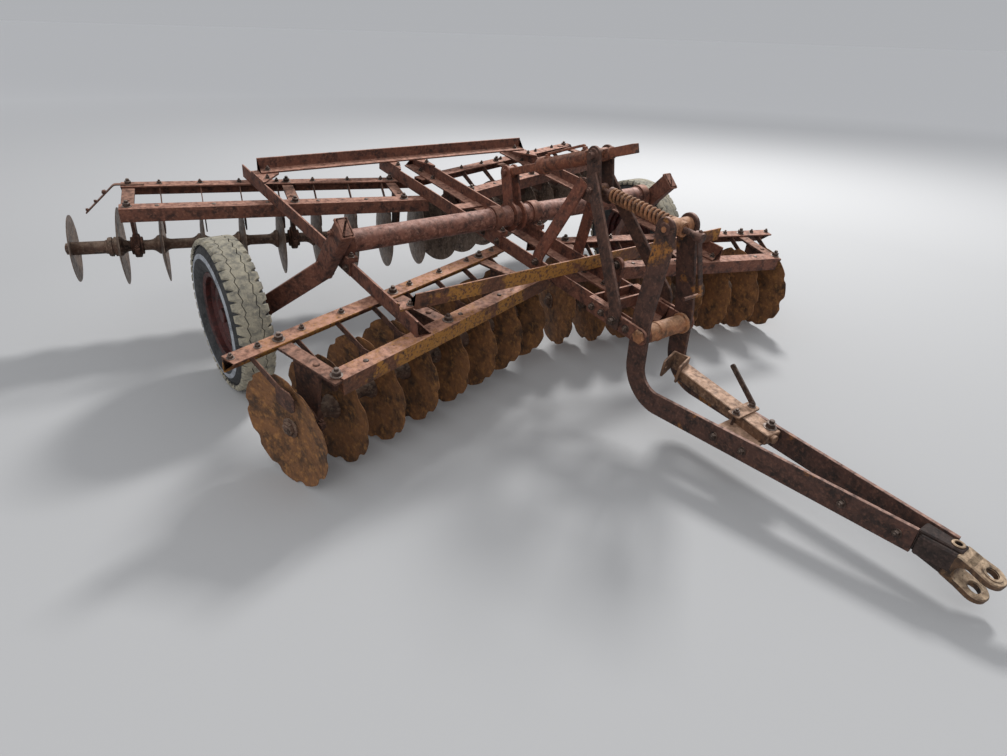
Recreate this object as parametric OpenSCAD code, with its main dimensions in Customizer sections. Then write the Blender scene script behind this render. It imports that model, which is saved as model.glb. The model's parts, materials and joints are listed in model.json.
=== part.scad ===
// Wheel-carried tandem disc harrow, parked on its two wheels and on the outer discs of the front gangs.
// Millimetres in the machine's own frame: X across, 0 between the centre rails, Y rearwards from the
// rockshaft, Z up from the rails' top edge. The stance module tips it nose down and stands it on the ground.

/* [Stance] */
// Nose-down tilt of the frame, degrees
pitch = 8.5; // [6:0.5:11]

/* [Frame] */
// Half width over the side rails
side_x = 941; // [920:1:960]
// Half width over the centre rails
centre_x = 124; // [118:1:130]
// Height of a rail angle
rail_h = 70; // [64:1:76]
// Width of a rail angle's bottom flange
rail_flange = 67; // [60:1:74]
// Thickness of the rail angles
rail_t = 9; // [7:1:11]
// Front end of the side rails
side_front_y = -644; // [-660:1:-630]
// Rear end of the side rails
side_rear_y = 1294; // [1270:1:1310]
// Rear end of the centre rails
centre_rear_y = 1215; // [1180:1:1240]
// Front end of the centre rails' bottom flanges
centre_flange_y = -990; // [-1000:1:-960]

/* [Cross angles] */
// Leg length of the two cross angles
cross_leg = 68; // [60:1:76]
// Thickness of the cross angles
cross_t = 9; // [7:1:11]
// Front face of the front cross angle
front_cross_y = -559; // [-570:1:-550]
// Left end of the front cross angle
front_cross_left = -899; // [-905:1:-880]
// Right end of the front cross angle
front_cross_right = 999; // [960:1:1010]
// Length of the torn plate at the front cross angle's left end
torn_plate = 62; // [50:1:70]
// Rear face of the rear cross angle
rear_cross_y = 1147; // [1120:1:1160]
// Left end of the rear cross angle
rear_cross_left = -906; // [-915:1:-890]
// Right end of the rear cross angle
rear_cross_right = 918; // [890:1:930]
// Thickness of the gusset plates under the rear cross angle
gusset_t = 10; // [8:1:14]
// Length of a gusset plate along its rail
gusset_long = 190; // [150:1:220]
// Width of a gusset plate across its rail
gusset_wide = 130; // [100:1:150]

/* [Rockshaft] */
// Height of the rockshaft's axis over the rails
shaft_z = 61; // [58:1:66]
// Outer radius of the rockshaft tube
shaft_r = 50.5; // [46:0.5:52]
// Wall of the rockshaft tube
shaft_wall = 8; // [6:1:10]
// Half length of the rockshaft tube
shaft_half = 973; // [962:1:985]
// Width of a rockshaft bearing along the shaft
bearing_w = 50; // [40:1:60]
// Wall of a bearing strap over the shaft
bearing_wall = 11; // [8:1:14]
// Half length of a bearing's foot
bearing_foot = 88; // [80:1:100]
// Height of a bearing's foot, as a share of the shaft's height
bearing_foot_share = 0.4; // [0.3:0.05:0.5]
// Thickness of a bearing's cheek on the rail
bearing_cheek_t = 10; // [8:1:12]
// Play between a turning piece and what carries it
running_gap = 0.3; // [0.2:0.1:0.5]

/* [Wheel arms] */
// Distance from the rockshaft's axis to the wheel's axis
arm_reach = 530; // [500:1:550]
// Slope of the arm's upper part below the rails, degrees
arm_slope = 52; // [48:0.5:56]
// Distance of the upper part's centreline from the rockshaft's axis
arm_offset = 35; // [28:1:42]
// How far the upper part runs on past the rockshaft
arm_tail = 183; // [170:1:200]
// Distance from the rockshaft down the upper part to the elbow
arm_elbow = 162; // [150:1:175]
// Depth of the arm's box section
arm_d = 90; // [80:1:96]
// Width of the arm's box section
arm_w = 52; // [46:1:58]
// Overlap of the two parts at the elbow
arm_lap = 13; // [8:1:16]
// Distance from the middle to the arm's outer end
arm_end_x = 1205; // [1190:1:1215]
// Radius of the wheel spindle
spindle_r = 30; // [25:1:33]
// Overhang of the cap plate on the arm's tail
cap_lip = 4; // [2:1:8]
// Thickness of the cap plate on the arm's tail
cap_t = 12; // [8:1:16]

/* [Wheels] */
// Distance from the middle to the middle of a tyre
wheel_x = 1355; // [1340:1:1370]
// Outer radius of the tyre
tyre_r = 358; // [345:1:365]
// Width of the tyre's tread
tread_w = 150; // [140:1:160]
// Width over the tyre's sidewalls
tyre_w = 172; // [165:1:180]
// Thickness of the tyre's wall
tyre_wall = 14; // [12:1:18]
// Radius at which the tyre is widest
belly_r = 265; // [258:1:272]
// Radius of the tyre's shoulders
shoulder_r = 24; // [20:1:30]
// Depth of the tyre's beads
bead_h = 28; // [24:1:34]
// Radius of the rim under the tyre's beads
rim_r = 190; // [180:1:196]
// Radius of the rim's edges
rim_edge_r = 206; // [200:1:212]
// Width of the rim between its edges
rim_w = 118; // [110:1:126]
// Thickness of the rim's steel
rim_t = 6; // [5:1:8]
// Offset of the wheel's dish plate from the tyre's middle, outwards
dish_offset = 8; // [0:1:16]
// Thickness of the wheel's dish plate
dish_t = 8; // [6:1:10]
// How far the wheel hub reaches past the rim towards the machine
hub_back = 12; // [8:1:16]
// Length of the hub's outer cap
hub_cap_l = 40; // [34:1:46]
// Radius of the wheel hub
hub_r = 52; // [46:1:60]
// Radius of the hub's outer cap
hub_cap_r = 34; // [33:1:40]

/* [Gang beams] */
// Height of a gang beam's upright flange
beam_h = 68; // [60:1:75]
// Width of a gang beam's top flange
beam_flange = 72; // [64:1:78]
// Thickness of the gang beams
beam_t = 9; // [7:1:11]
// Half of the distance over a gang's two beams
beam_half = 196; // [190:1:202]

/* [Front gangs] */
// Sweep of the front gangs, degrees
front_sweep = 15.95; // [15:0.05:17]
// Outermost front disc, distance from the middle
front_disc_x = 1439; // [1430:1:1450]
// Outermost front disc, place
front_disc_y = -611; // [-620:1:-600]
// Discs in a front gang
front_discs = 8; // [7:1:8]
// Distance between front discs
front_pitch = 194; // [190:1:196]
// Radius of the front discs
front_disc_r = 236.5; // [230:0.5:240]
// Notches round a front disc
front_notches = 10; // [8:2:12]
// Start of the front gangs' front beam, inwards from the first disc
front_beam_a = 84; // [70:1:95]
// End of the front gangs' front beam
front_beam_b = 1410; // [1380:1:1420]
// Start of the front gangs' rear beam
front_back_a = -127; // [-140:1:-110]
// End of the front gangs' rear beam
front_back_b = 1450; // [1420:1:1480]

/* [Rear gangs] */
// Sweep of the rear gangs, degrees
rear_sweep = 13.3; // [12.5:0.05:14]
// Outermost full rear disc, distance from the middle
rear_disc_x = 1643; // [1635:1:1655]
// Outermost full rear disc, place
rear_disc_y = 1204; // [1195:1:1215]
// Full discs in a rear gang
rear_discs = 9; // [8:1:9]
// Distance between rear discs
rear_pitch = 200; // [196:1:201]
// Radius of the rear discs
rear_disc_r = 200; // [194:1:206]
// Distance from the outermost full disc to the furrow filler disc
filler_gap = 215; // [200:1:230]
// Radius of the furrow filler disc
filler_r = 170; // [160:1:178]
// Start of the rear gangs' beams, inwards from the first full disc
rear_beam_a = 50; // [40:1:60]
// End of the rear gangs' beams
rear_beam_b = 1625; // [1590:1:1632]

/* [Discs and spools] */
// Depth of the gang axes under the top of the rails
gang_drop = 345; // [340:1:350]
// Thickness of a disc
disc_t = 5; // [4:0.5:6]
// Radius of the sphere that a disc is dished to
dish_r = 950; // [850:10:1100]
// Radius of a disc's flat middle
disc_flat_r = 56; // [52:1:60]
// Radius of a notch in a front disc
notch_r = 30; // [24:1:34]
// How far a notch's centre lies outside the disc's edge
notch_out = 18; // [12:1:22]
// Radius of the gang shaft
gang_shaft_r = 19; // [16:1:22]
// Radius of a spool's ends
spool_end_r = 50; // [44:1:52]
// Radius of a spool's waist
spool_waist_r = 27; // [24:1:32]
// Length of a spool's bell at each end
spool_bell = 52; // [45:1:53]
// Radius of the round shoulder at a spool's end
spool_edge_r = 14; // [8:1:18]
// Height of the round shoulder's middle over the spool's end
spool_edge_h = 4; // [2:1:8]
// Radius of the outer spool that carries the furrow filler
filler_spool_r = 33; // [28:1:38]
// Length of the washer and nut at each end of a gang shaft
shaft_end = 26; // [20:1:32]
// Radius of the washer and nut at each end of a gang shaft
shaft_nut_r = 40; // [34:1:46]

/* [Gang hangers] */
// Outer radius of a gang bearing
gang_bearing_r = 62; // [56:1:68]
// Length of a gang bearing
gang_bearing_l = 58; // [50:1:64]
// Thickness of a hanger plate
hanger_t = 16; // [12:1:20]
// Width of the cross strap between the beams
hanger_strap_w = 60; // [50:1:66]
// Thickness of the cross strap
hanger_strap_t = 12; // [10:1:14]
// Half of a hanger plate's width at the top
hanger_top = 75; // [60:1:90]
// Half of a hanger plate's width at the bearing
hanger_low = 50; // [40:1:55]
// Place of a hanger between its two discs, as a share of their distance
hanger_place = 0.43; // [0.43:0.01:0.5]

/* [Scrapers] */
// Clearance between a scraper's blade and its disc
scraper_gap = 8; // [6:1:10]
// Thickness of a scraper's arm
scraper_t = 6; // [5:1:8]
// Width of a scraper's arm
scraper_arm_w = 28; // [22:1:34]
// Length of a scraper's arm under the beam
scraper_hold = 45; // [36:1:54]
// How far in front of the gang's axis a scraper's arm ends
scraper_tip = 10; // [0:1:20]
// Length of a scraper's blade
scraper_blade_l = 100; // [80:1:110]
// Height of a scraper's blade
scraper_blade_h = 86; // [70:1:95]
// Distance of a scraper's blade under the top of its disc
scraper_sink = 30; // [24:1:40]
// Length of the furrow filler's strap on the beam
filler_hold = 110; // [90:1:130]
// How far the furrow filler's strap reaches past the beam's end before it drops
filler_reach = 30; // [20:1:40]
// Width that the furrow filler's strap drops over
filler_drop_w = 150; // [130:1:156]
// Height that the furrow filler's strap drops
filler_drop_h = 145; // [120:1:155]

/* [Mast] */
// Place of the mast's top pin
mast_pin_y = -524; // [-530:1:-515]
// Height of the mast's top pin
mast_pin_z = 525; // [515:1:535]
// Radius of the mast's top pin
mast_pin_r = 16; // [14:1:18]
// Inner half gap between the mast's head plates
head_x = 32; // [31:1:36]
// Thickness of a head plate
head_t = 12; // [10:1:14]
// Radius of a head plate's round top
head_r = 40; // [36:1:44]
// How far a head plate's rear edge slants back towards its foot
head_slant = 30; // [20:1:36]
// Depth of the head plates under the levelling screw's pin
head_low = 60; // [50:1:66]
// Overhang of the mast's pins
mast_pin_end = 10; // [8:1:14]
// Width of a mast leg
leg_w = 64; // [56:1:70]
// Thickness of a mast leg
leg_t = 14; // [12:1:16]
// Height of the knee over a mast leg's foot
leg_knee_z = 20; // [14:1:26]
// Place of the front legs' tops
front_top_y = -557; // [-562:1:-552]
// Height of the front legs' tops
front_top_z = 422; // [416:1:428]
// Place of the rear legs' tops
rear_top_y = -492; // [-498:1:-486]
// Height of the rear legs' tops
rear_top_z = 380; // [374:1:386]
// Place of the front feet
front_foot_y = -930; // [-940:1:-915]
// Place of the rear feet
rear_foot_y = -374; // [-390:1:-360]

/* [Lift cylinder] */
// Place of the lever's pin
lever_pin_y = 70; // [60:1:80]
// Height of the lever's pin
lever_pin_z = 262; // [255:1:270]
// Radius of the lever's round end
lever_r = 36; // [32:1:40]
// Width of the ring that holds a lever plate on the rockshaft
lever_ring = 26; // [20:1:30]
// Length of the lever's pin head
lever_pin_l = 16; // [12:1:20]
// Radius of the lever's pin head
lever_pin_r = 17; // [14:1:20]
// Thickness of a lever plate
lever_t = 12; // [10:1:14]
// Width of the cylinder rod's eye
rod_eye_w = 40; // [37:1:44]
// Radius of the cylinder rod's eye
rod_eye_r = 30; // [28:1:34]
// Side of the square cylinder rod
rod_side = 36; // [32:1:37]
// Outer radius of the cylinder barrel
barrel_r = 33; // [31.5:0.5:35]
// Wall of the cylinder barrel
barrel_wall = 5; // [4:0.5:6]
// Distance from the mast pin to the end of the gland
gland_end = 402; // [380:1:410]
// Length of the gland
gland_l = 38; // [30:1:45]
// Outer radius of the gland
gland_r = 42; // [38:1:46]
// Radius of the lug on the mast pin
lug_r = 30; // [27:1:32]
// Distance from the head plates' round tops to the barrel
barrel_clear = 22; // [16:1:28]
// Distance from the mast pin to the rod's inner end
rod_inside = 205; // [190:1:220]
// Length of the bar that runs on past the mast pin
port_bar_l = 200; // [180:1:220]
// Side of the bar that runs on past the mast pin
port_bar_side = 38; // [32:1:44]

/* [Drawbar] */
// Place of the drawbar's pivot
pivot_y = -1075; // [-1085:1:-1065]
// Height of the drawbar's pivot
pivot_z = -33; // [-36:1:-30]
// Radius of the pivot pin
pivot_r = 20; // [17:1:22]
// Outer radius of the spacer tube on the pivot
spacer_r = 38; // [34:1:42]
// Thickness of a drawbar arm
bar_t = 16; // [14:1:17]
// Width of a drawbar arm
bar_w = 94; // [88:1:100]
// Gap between a drawbar arm and the rail or cheek beside it
arm_side_gap = 0.5; // [0.3:0.1:0.8]
// Radius of the gooseneck bend, at the arm's middle
bend_r = 135; // [128:1:145]
// Place of the bend's centre
bend_y = -1212; // [-1220:1:-1205]
// Height of the bend's centre
bend_z = -145; // [-155:1:-135]
// Place of the levelling pin
top_pin_y = -1005; // [-1015:1:-995]
// Height of the levelling pin
top_pin_z = 390; // [380:1:400]
// Inner half gap between the arms at the levelling pin
top_half = 62; // [56:1:68]
// Height at which the arms start to lean in
lean_z = 30; // [25:1:40]
// Height at which the arms stand upright again
upright_z = 320; // [310:1:330]
// Place of the arms' front ends
tongue_end_y = -2330; // [-2345:1:-2310]
// Height of the arms' middle at their front ends
tongue_end_z = -172; // [-180:1:-165]
// Inner half gap between the arms at their front ends
tongue_end_half = 25; // [22:1:28]
// Thickness of the cheek plates outside the arms
cheek_t = 12; // [10:1:14]
// Overhang of the pivot pin past the cheek plates
pivot_pin_end = 14; // [10:1:18]
// Overhang of the trunnion's pin past the arms
trunnion_end = 8; // [6:1:12]
// Rear end of the cheek plates
cheek_rear_y = -760; // [-780:1:-740]
// Front end of the packing between cheek and rail
packing_y = -930; // [-940:1:-915]

/* [Hitch clevis] */
// Radius of the hitch pin hole
hitch_hole_r = 20.5; // [18:0.5:22]
// Thickness of a clevis jaw
jaw_t = 24; // [20:1:28]
// Opening between the clevis jaws
jaw_gap = 54; // [48:1:58]
// Distance from the arms' ends to the hitch pin
jaw_reach = 105; // [98:1:112]
// Drop of the hitch pin's middle under the arms' middle
jaw_drop = 39; // [30:1:45]
// Droop of the jaws against the arms, degrees
jaw_droop = 15; // [10:1:18]
// Radius of a clevis jaw's nose
jaw_r = 46; // [40:1:50]
// Distance from the hitch pin to the bottom of the throat
throat_reach = 70; // [66:1:76]
// Distance from the hitch pin to the rear of the clevis block
block_reach = 96; // [88:1:97]
// Length of the clevis body between the arms
clevis_back = 95; // [90:1:110]
// Height of the clevis body over the arms' middle
clevis_top = 40; // [34:1:46]
// Depth of the clevis body under the arms' middle
clevis_low = 46; // [40:1:52]
// How far the left arm ends short of the right one
left_short = 92; // [80:1:92]

/* [Levelling screw] */
// Place of the screw's rear pin
screw_pin_y = -562; // [-566:1:-558]
// Radius of the screw's rear pin
screw_pin_r = 12; // [10:1:14]
// Radius of the levelling rod
screw_r = 13; // [11:1:15]
// Play of the rod in the trunnion
trunnion_play = 7; // [6:1:8]
// Radius of the trunnion
trunnion_r = 33; // [31:1:36]
// Outer radius of the spring
spring_r = 31; // [28:1:34]
// Radius of the spring's wire
wire_r = 6.5; // [5.5:0.5:7]
// Coils of the spring
coils = 15; // [12:1:16]
// Distance from the rear pin to the spring
spring_start = 76; // [70:1:84]
// Distance from the rear pin to the crank
crank_reach = 530; // [520:1:545]
// Length of the crank's handle from the rod to the grip
crank_throw = 300; // [280:1:310]
// Swing of the crank's handle to the right, degrees
crank_swing = 25; // [15:1:30]
// Length of the crank's grip
crank_grip = 105; // [95:1:115]
// Radius of the crank's bar
crank_bar_r = 8; // [7:1:10]
// Radius of the crank's boss on the rod
crank_boss_r = 20; // [18:1:24]
// Length of the crank's boss on the rod
crank_boss_l = 40; // [34:1:46]
// Radius of the rod's eye on its rear pin
screw_eye_r = 24; // [20:1:26]

/* [Stowed stand] */
// Width of the stand's bar
stand_w = 78; // [70:1:84]
// Height of the stand's bar
stand_h = 46; // [40:1:50]
// Gap between the stand's bar and the right arm
stand_gap = 14; // [13:1:18]
// Height of the stand's top face
stand_top_z = -188; // [-192:1:-184]
// Front end of the stand's bar
stand_front_y = -1668; // [-1680:1:-1660]
// Radius of the stub at the bar's front end
stub_r = 18; // [14:1:20]
// Length of the stub at the bar's front end
stub_l = 14; // [10:1:18]
// Inner corner of the stand's foot across the tongue
foot_x = 116; // [110:1:119]
// Inner corner of the stand's foot along the tongue
foot_y = -1167; // [-1175:1:-1160]
// Turn of the foot against the machine's middle, degrees
foot_turn = 18; // [14:1:22]
// Length of the foot's two flanges
foot_l = 115; // [105:1:120]
// Width of the foot over its flanges
foot_w = 76; // [70:1:82]
// Height of the foot
foot_h = 84; // [76:1:88]
// Height of the foot's top
foot_top_z = -156; // [-160:1:-152]
// Radius of the hole in the foot's flanges
foot_hole_r = 10; // [8:1:12]
// Thickness of the foot and of the clamp plates
plate_t = 9; // [8:1:10]
// Place of the clamp along the tongue
clamp_y = -1512; // [-1520:1:-1505]
// Width of the clamp's strap
clamp_w = 55; // [50:1:60]
// How far the clamp's strap reaches past the bar on the left
clamp_left = 36; // [30:1:40]
// How far the clamp's strap reaches past the bar on the right
clamp_right = 28; // [24:1:32]
// Radius of the clamp's bolts
clamp_bolt_r = 5.5; // [5:0.25:6]
// How far the clamp's bolts stand over the strap
clamp_bolt_up = 12; // [8:1:16]
// Length of the plate under the stand, behind the clamp
clamp_plate_back = 27; // [20:1:34]
// Length of the plate under the stand, in front of the clamp
clamp_plate_front = 138; // [130:1:145]
// Rearward reach of the clamp's lever
lever_back = 134; // [120:1:140]
// Upward reach of the clamp's lever
lever_up = 99; // [90:1:110]
// Width of the clamp's lever
lever_w = 24; // [20:1:28]
// Thickness of the clamp's lever
lever_thick = 8; // [6:1:10]

/* [Centre fittings] */
// Place of the cross channel between the centre rails
channel_y = -800; // [-810:1:-790]
// Width of the cross channel
channel_w = 90; // [80:1:100]
// Height of the cross channel
channel_h = 52; // [46:1:56]
// Place of the round-topped ear across the channel
ear_x = -64; // [-70:1:-50]
// Height of the ear's bolt over the rails
ear_z = 148; // [140:1:156]
// Place of the rear tie between the centre rails
tie_y = 420; // [400:1:440]

/* [Hidden] */
$fn = 48;
through = 2000;
bite = 0.01;

// Slopes and places worked out from the sizes above
rear_sign = 1;
front_sign = -1;
front_slots = [0, 3, 6];
rear_slots = [0, 4, 7];
dish_z = sqrt(pow(dish_r, 2) - pow(disc_flat_r, 2));
front_depth = dish_z - sqrt(pow(dish_r, 2) - pow(front_disc_r, 2));
rear_depth = dish_z - sqrt(pow(dish_r, 2) - pow(rear_disc_r, 2));
filler_depth = dish_z - sqrt(pow(dish_r, 2) - pow(filler_r, 2));
front_flat_z = sin(front_sweep) * sin(pitch);
disc_low = front_disc_y * sin(pitch) - gang_drop * cos(pitch) - front_depth * front_flat_z
    - front_disc_r * sqrt(1 - pow(front_flat_z, 2));
ground_z = -disc_low;
hub_fall = shaft_z * cos(pitch) + ground_z - tyre_r;
arm_angle = asin(hub_fall / arm_reach) + pitch;
hub_y = arm_reach * cos(arm_angle);
hub_z = shaft_z - arm_reach * sin(arm_angle);
elbow_y = arm_elbow * cos(arm_slope) - arm_offset * sin(arm_slope);
elbow_z = shaft_z - arm_elbow * sin(arm_slope) - arm_offset * cos(arm_slope);

arm_in = centre_x + arm_side_gap;
arm_out = arm_in + bar_t;
cheek_x = arm_out + arm_side_gap;
tongue_far = norm([bend_y - tongue_end_y, tongue_end_z - bend_z]);
tongue_rise = asin(bend_r / tongue_far) - atan2(bend_z - tongue_end_z, bend_y - tongue_end_y);
tongue_run = sqrt(pow(tongue_far, 2) - pow(bend_r, 2));
tongue_yaw = atan2(arm_in - tongue_end_half, tongue_run);
neck_far = norm([top_pin_y - bend_y, top_pin_z - bend_z]);
neck_slant = atan2(top_pin_y - bend_y, top_pin_z - bend_z) - asin(bend_r / neck_far);

lift_dy = lever_pin_y - mast_pin_y;
lift_dz = lever_pin_z - mast_pin_z;
lift_len = sqrt(pow(lift_dy, 2) + pow(lift_dz, 2));
lift_slope = atan2(lift_dz, lift_dy);
lever_slope = atan2(lever_pin_z - shaft_z, lever_pin_y);
screw_len = screw_pin_y - top_pin_y;

plan_yaw = atan(tan(tongue_yaw) / cos(tongue_rise));
hitch_y = tongue_end_y - jaw_reach * cos(tongue_rise) - jaw_drop * sin(tongue_rise);
hitch_z = tongue_end_z + jaw_reach * sin(tongue_rise) - jaw_drop * cos(tongue_rise);
nose_tilt = pitch - tongue_rise + jaw_droop;
nose_y = hitch_y * cos(pitch) - hitch_z * sin(pitch)
    - jaw_r * cos(nose_tilt) - (jaw_gap / 2 + jaw_t) * sin(nose_tilt);
filler_y = rear_disc_y + filler_gap * sin(rear_sweep);
tail_y = filler_y * cos(pitch) + gang_drop * sin(pitch) - filler_depth * sin(rear_sweep) * cos(pitch)
    + filler_r * sqrt(1 - pow(sin(rear_sweep) * cos(pitch), 2));
shift_y = -(nose_y + tail_y) / 2;

function inner_half(y) = tongue_end_half + (y - tongue_end_y) * tan(tongue_yaw) / cos(tongue_rise);
function neck_at(z) = top_pin_y - (top_pin_z - z) * tan(neck_slant);

// Tip the machine nose down, stand it on the ground and centre its outline
module stance() {
    translate([0, shift_y, ground_z])
        rotate([pitch, 0, 0])
            children();
}

// Turn a shape drawn along X so that it runs's X axis as a disc stack does
module across(x, y, z) {
    translate([x, y, z])
        rotate([0, 90, 0])
            children();
}

// A straight flat bar with round ends between two points, its thickness lying level
module strap(p, q, w, t) {
    d = q - p;
    run = norm([d.x, d.y]);
    translate(p)
        rotate([0, 0, atan2(d.y, d.x)])
            rotate([0, -atan2(d.z, run), 0])
                rotate([90, 0, 0])
                    translate([0, 0, -t / 2])
                        linear_extrude(t) {
                            translate([0, -w / 2])
                                square([norm(d), w]);
                            circle(w / 2);
                            translate([norm(d), 0])
                                circle(w / 2);
                        }
}

// An angle lying along X: one upright flange and one level flange towards +Y
module angle_bar(x0, x1, h, flange, t, top = false) {
    translate([x0, 0, top ? -h : 0])
        cube([x1 - x0, t, h]);
    translate([x0, 0, top ? -t : 0])
        cube([x1 - x0, flange, t]);
}

// Rails

// A rail along Y with its web's outer face at +X and its flange pointing inwards
module rail(outer_x, y0, y1, flange_y0) {
    translate([outer_x - rail_t, y0, -rail_h])
        cube([rail_t, y1 - y0, rail_h]);
    translate([outer_x - rail_flange, flange_y0, -rail_h])
        cube([rail_flange, y1 - flange_y0, rail_t]);
}

module side_rail() {
    rail(side_x, side_front_y, side_rear_y, side_front_y);
}

module centre_rail() {
    difference() {
        union() {
            rail(centre_x, pivot_y, centre_rear_y, centre_flange_y);
            across(centre_x - rail_t, pivot_y, -rail_h / 2)
                cylinder(h = rail_t, r = rail_h / 2);
        }
        across(0, pivot_y, pivot_z)
            cylinder(h = through, r = pivot_r + running_gap, center = true);
    }
}

module left_side_rail() {
    color("#7a4c3c") stance() mirror([1, 0, 0]) side_rail();
}

module right_side_rail() {
    color("#7a4c3c") stance() side_rail();
}

module left_centre_rail() {
    color("#7a4c3c") stance() mirror([1, 0, 0]) centre_rail();
}

module right_centre_rail() {
    color("#7a4c3c") stance() centre_rail();
}

// Cross angles and their plates

module front_cross_angle() {
    color("#8c6a35")
        stance()
            translate([0, front_cross_y, 0]) {
                angle_bar(front_cross_left, front_cross_right, cross_leg, cross_leg, cross_t);
                translate([front_cross_left - torn_plate, cross_t, 0])
                    cube([torn_plate + cross_leg, cross_leg - cross_t, cross_t]);
            }
}

module rear_cross_angle() {
    color("#7d5140")
        stance()
            translate([0, rear_cross_y, gusset_t])
                mirror([0, 1, 0])
                    angle_bar(rear_cross_left, rear_cross_right, cross_leg, cross_leg, cross_t);
}

// A triangular plate on top of a rail, reaching towards the middle of the machine
module gusset(rail_x, reach) {
    linear_extrude(gusset_t)
        polygon([
            [rail_x, rear_cross_y],
            [rail_x, rear_cross_y - gusset_long],
            [rail_x - rail_t, rear_cross_y - gusset_long],
            [rail_x - reach, rear_cross_y - cross_leg],
            [rail_x - reach, rear_cross_y]
        ]);
}

module gusset_plates() {
    color("#9a6b5a")
        stance()
            for (side = [0, 1])
                mirror([side, 0, 0]) {
                    gusset(side_x, gusset_wide);
                    gusset(centre_x, gusset_wide / 2);
                }
}

// Cross channel with its round-topped ear, and the small tie further back
module centre_fittings() {
    inner = centre_x - rail_t - running_gap;
    color("#8a3b22")
        stance() {
            translate([-inner, channel_y - channel_w / 2, -channel_h]) {
                cube([2 * inner, channel_w, rail_t]);
                cube([2 * inner, rail_t, channel_h]);
                translate([0, channel_w - rail_t, 0])
                    cube([2 * inner, rail_t, channel_h]);
            }
            translate([ear_x, channel_y, 0])
                rotate([90, 0, 90])
                    linear_extrude(leg_t) {
                        translate([-leg_w / 2, -channel_h + rail_t])
                            square([leg_w, ear_z + channel_h - rail_t]);
                        translate([0, ear_z])
                            circle(leg_w / 2);
                    }
            translate([-inner, tie_y, -rail_h + rail_t])
                cube([2 * inner, rail_flange, rail_t]);
        }
}

// Rockshaft bearings

module shaft_bearing(rail_x) {
    mid = rail_x - rail_t / 2;
    difference() {
        union() {
            translate([mid - bearing_w / 2, -bearing_foot, 0])
                cube([bearing_w, 2 * bearing_foot, shaft_z * bearing_foot_share]);
            translate([mid - bearing_w / 2, -shaft_r - bearing_wall, 0])
                cube([bearing_w, 2 * (shaft_r + bearing_wall), shaft_z]);
            across(mid - bearing_w / 2, 0, shaft_z)
                cylinder(h = bearing_w, r = shaft_r + bearing_wall);
            translate([rail_x, -bearing_foot, -rail_h + rail_t])
                cube([bearing_cheek_t, 2 * bearing_foot, rail_h - rail_t + bite]);
        }
        across(0, 0, shaft_z)
            cylinder(h = 2 * through, r = shaft_r + running_gap, center = true);
        translate([rail_x - rail_t, -through, -rail_h])
            cube([rail_t, 2 * through, rail_h]);
    }
}

module rockshaft_bearings() {
    color("#5f4238")
        stance()
            for (side = [0, 1], rail_x = [side_x, centre_x])
                mirror([side, 0, 0])
                    shaft_bearing(rail_x);
}

// Mast

module head_plate() {
    translate([head_x, 0, 0])
        rotate([90, 0, 90])
            linear_extrude(head_t) {
                translate([mast_pin_y, mast_pin_z])
                    circle(head_r);
                polygon([
                    [mast_pin_y - head_r, mast_pin_z],
                    [mast_pin_y + head_r, mast_pin_z],
                    [mast_pin_y + head_r + head_slant, top_pin_z - head_low / 3],
                    [mast_pin_y + head_r + head_slant / 3, top_pin_z - head_low],
                    [screw_pin_y - head_r, top_pin_z - head_low],
                    [screw_pin_y - head_r, top_pin_z]
                ]);
            }
}

module mast_head() {
    pin_half = head_x + head_t + leg_t + mast_pin_end;
    color("#5b3a30")
        stance() {
            for (side = [0, 1])
                mirror([side, 0, 0])
                    head_plate();
            across(0, mast_pin_y, mast_pin_z)
                cylinder(h = 2 * pin_half, r = mast_pin_r, center = true);
            across(0, screw_pin_y, top_pin_z)
                cylinder(h = 2 * pin_half, r = screw_pin_r, center = true);
        }
}

// A leg from the head plate's outer face down to an upright foot on a rail or cheek
module mast_leg(top_y, top_z, low_y, side_x0) {
    head_out = head_x + head_t;
    foot_z = -rail_h / 2;
    difference() {
        union() {
            strap([head_out + leg_t / 2, top_y, top_z], [side_x0 + leg_t / 2, low_y, leg_knee_z], leg_w, leg_t);
            translate([side_x0, low_y, foot_z])
                rotate([90, 0, 90])
                    linear_extrude(leg_t) {
                        circle(leg_w / 2);
                        translate([-leg_w / 2, 0])
                            square([leg_w, leg_knee_z - foot_z]);
                        translate([0, leg_knee_z - foot_z])
                            circle(leg_w / 2);
                    }
        }
        translate([-through + head_out, -through, 0])
            cube([through, 2 * through, through]);
        translate([-through + side_x0, -through, -through])
            cube([through, 2 * through, through]);
        across(0, mast_pin_y, mast_pin_z)
            cylinder(h = through, r = mast_pin_r + running_gap, center = true);
        across(0, screw_pin_y, top_pin_z)
            cylinder(h = through, r = screw_pin_r + running_gap, center = true);
    }
}

module mast_front_legs() {
    color("#4d332b")
        stance()
            for (side = [0, 1])
                mirror([side, 0, 0])
                    mast_leg(front_top_y, front_top_z, front_foot_y, cheek_x + cheek_t);
}

module mast_rear_legs() {
    color("#6f4031")
        stance()
            for (side = [0, 1])
                mirror([side, 0, 0])
                    mast_leg(rear_top_y, rear_top_z, rear_foot_y, centre_x);
}

// Gangs

// Draw in a left gang's own frame: X inwards along the shaft, Y square to it towards the rear
module front_left_gang() {
    stance()
        translate([-front_disc_x, front_disc_y, 0])
            rotate([0, 0, front_sweep])
                children();
}

module rear_left_gang() {
    stance()
        translate([-rear_disc_x, rear_disc_y, 0])
            rotate([0, 0, -rear_sweep])
                children();
}

module to_right() {
    mirror([1, 0, 0])
        children();
}

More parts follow.
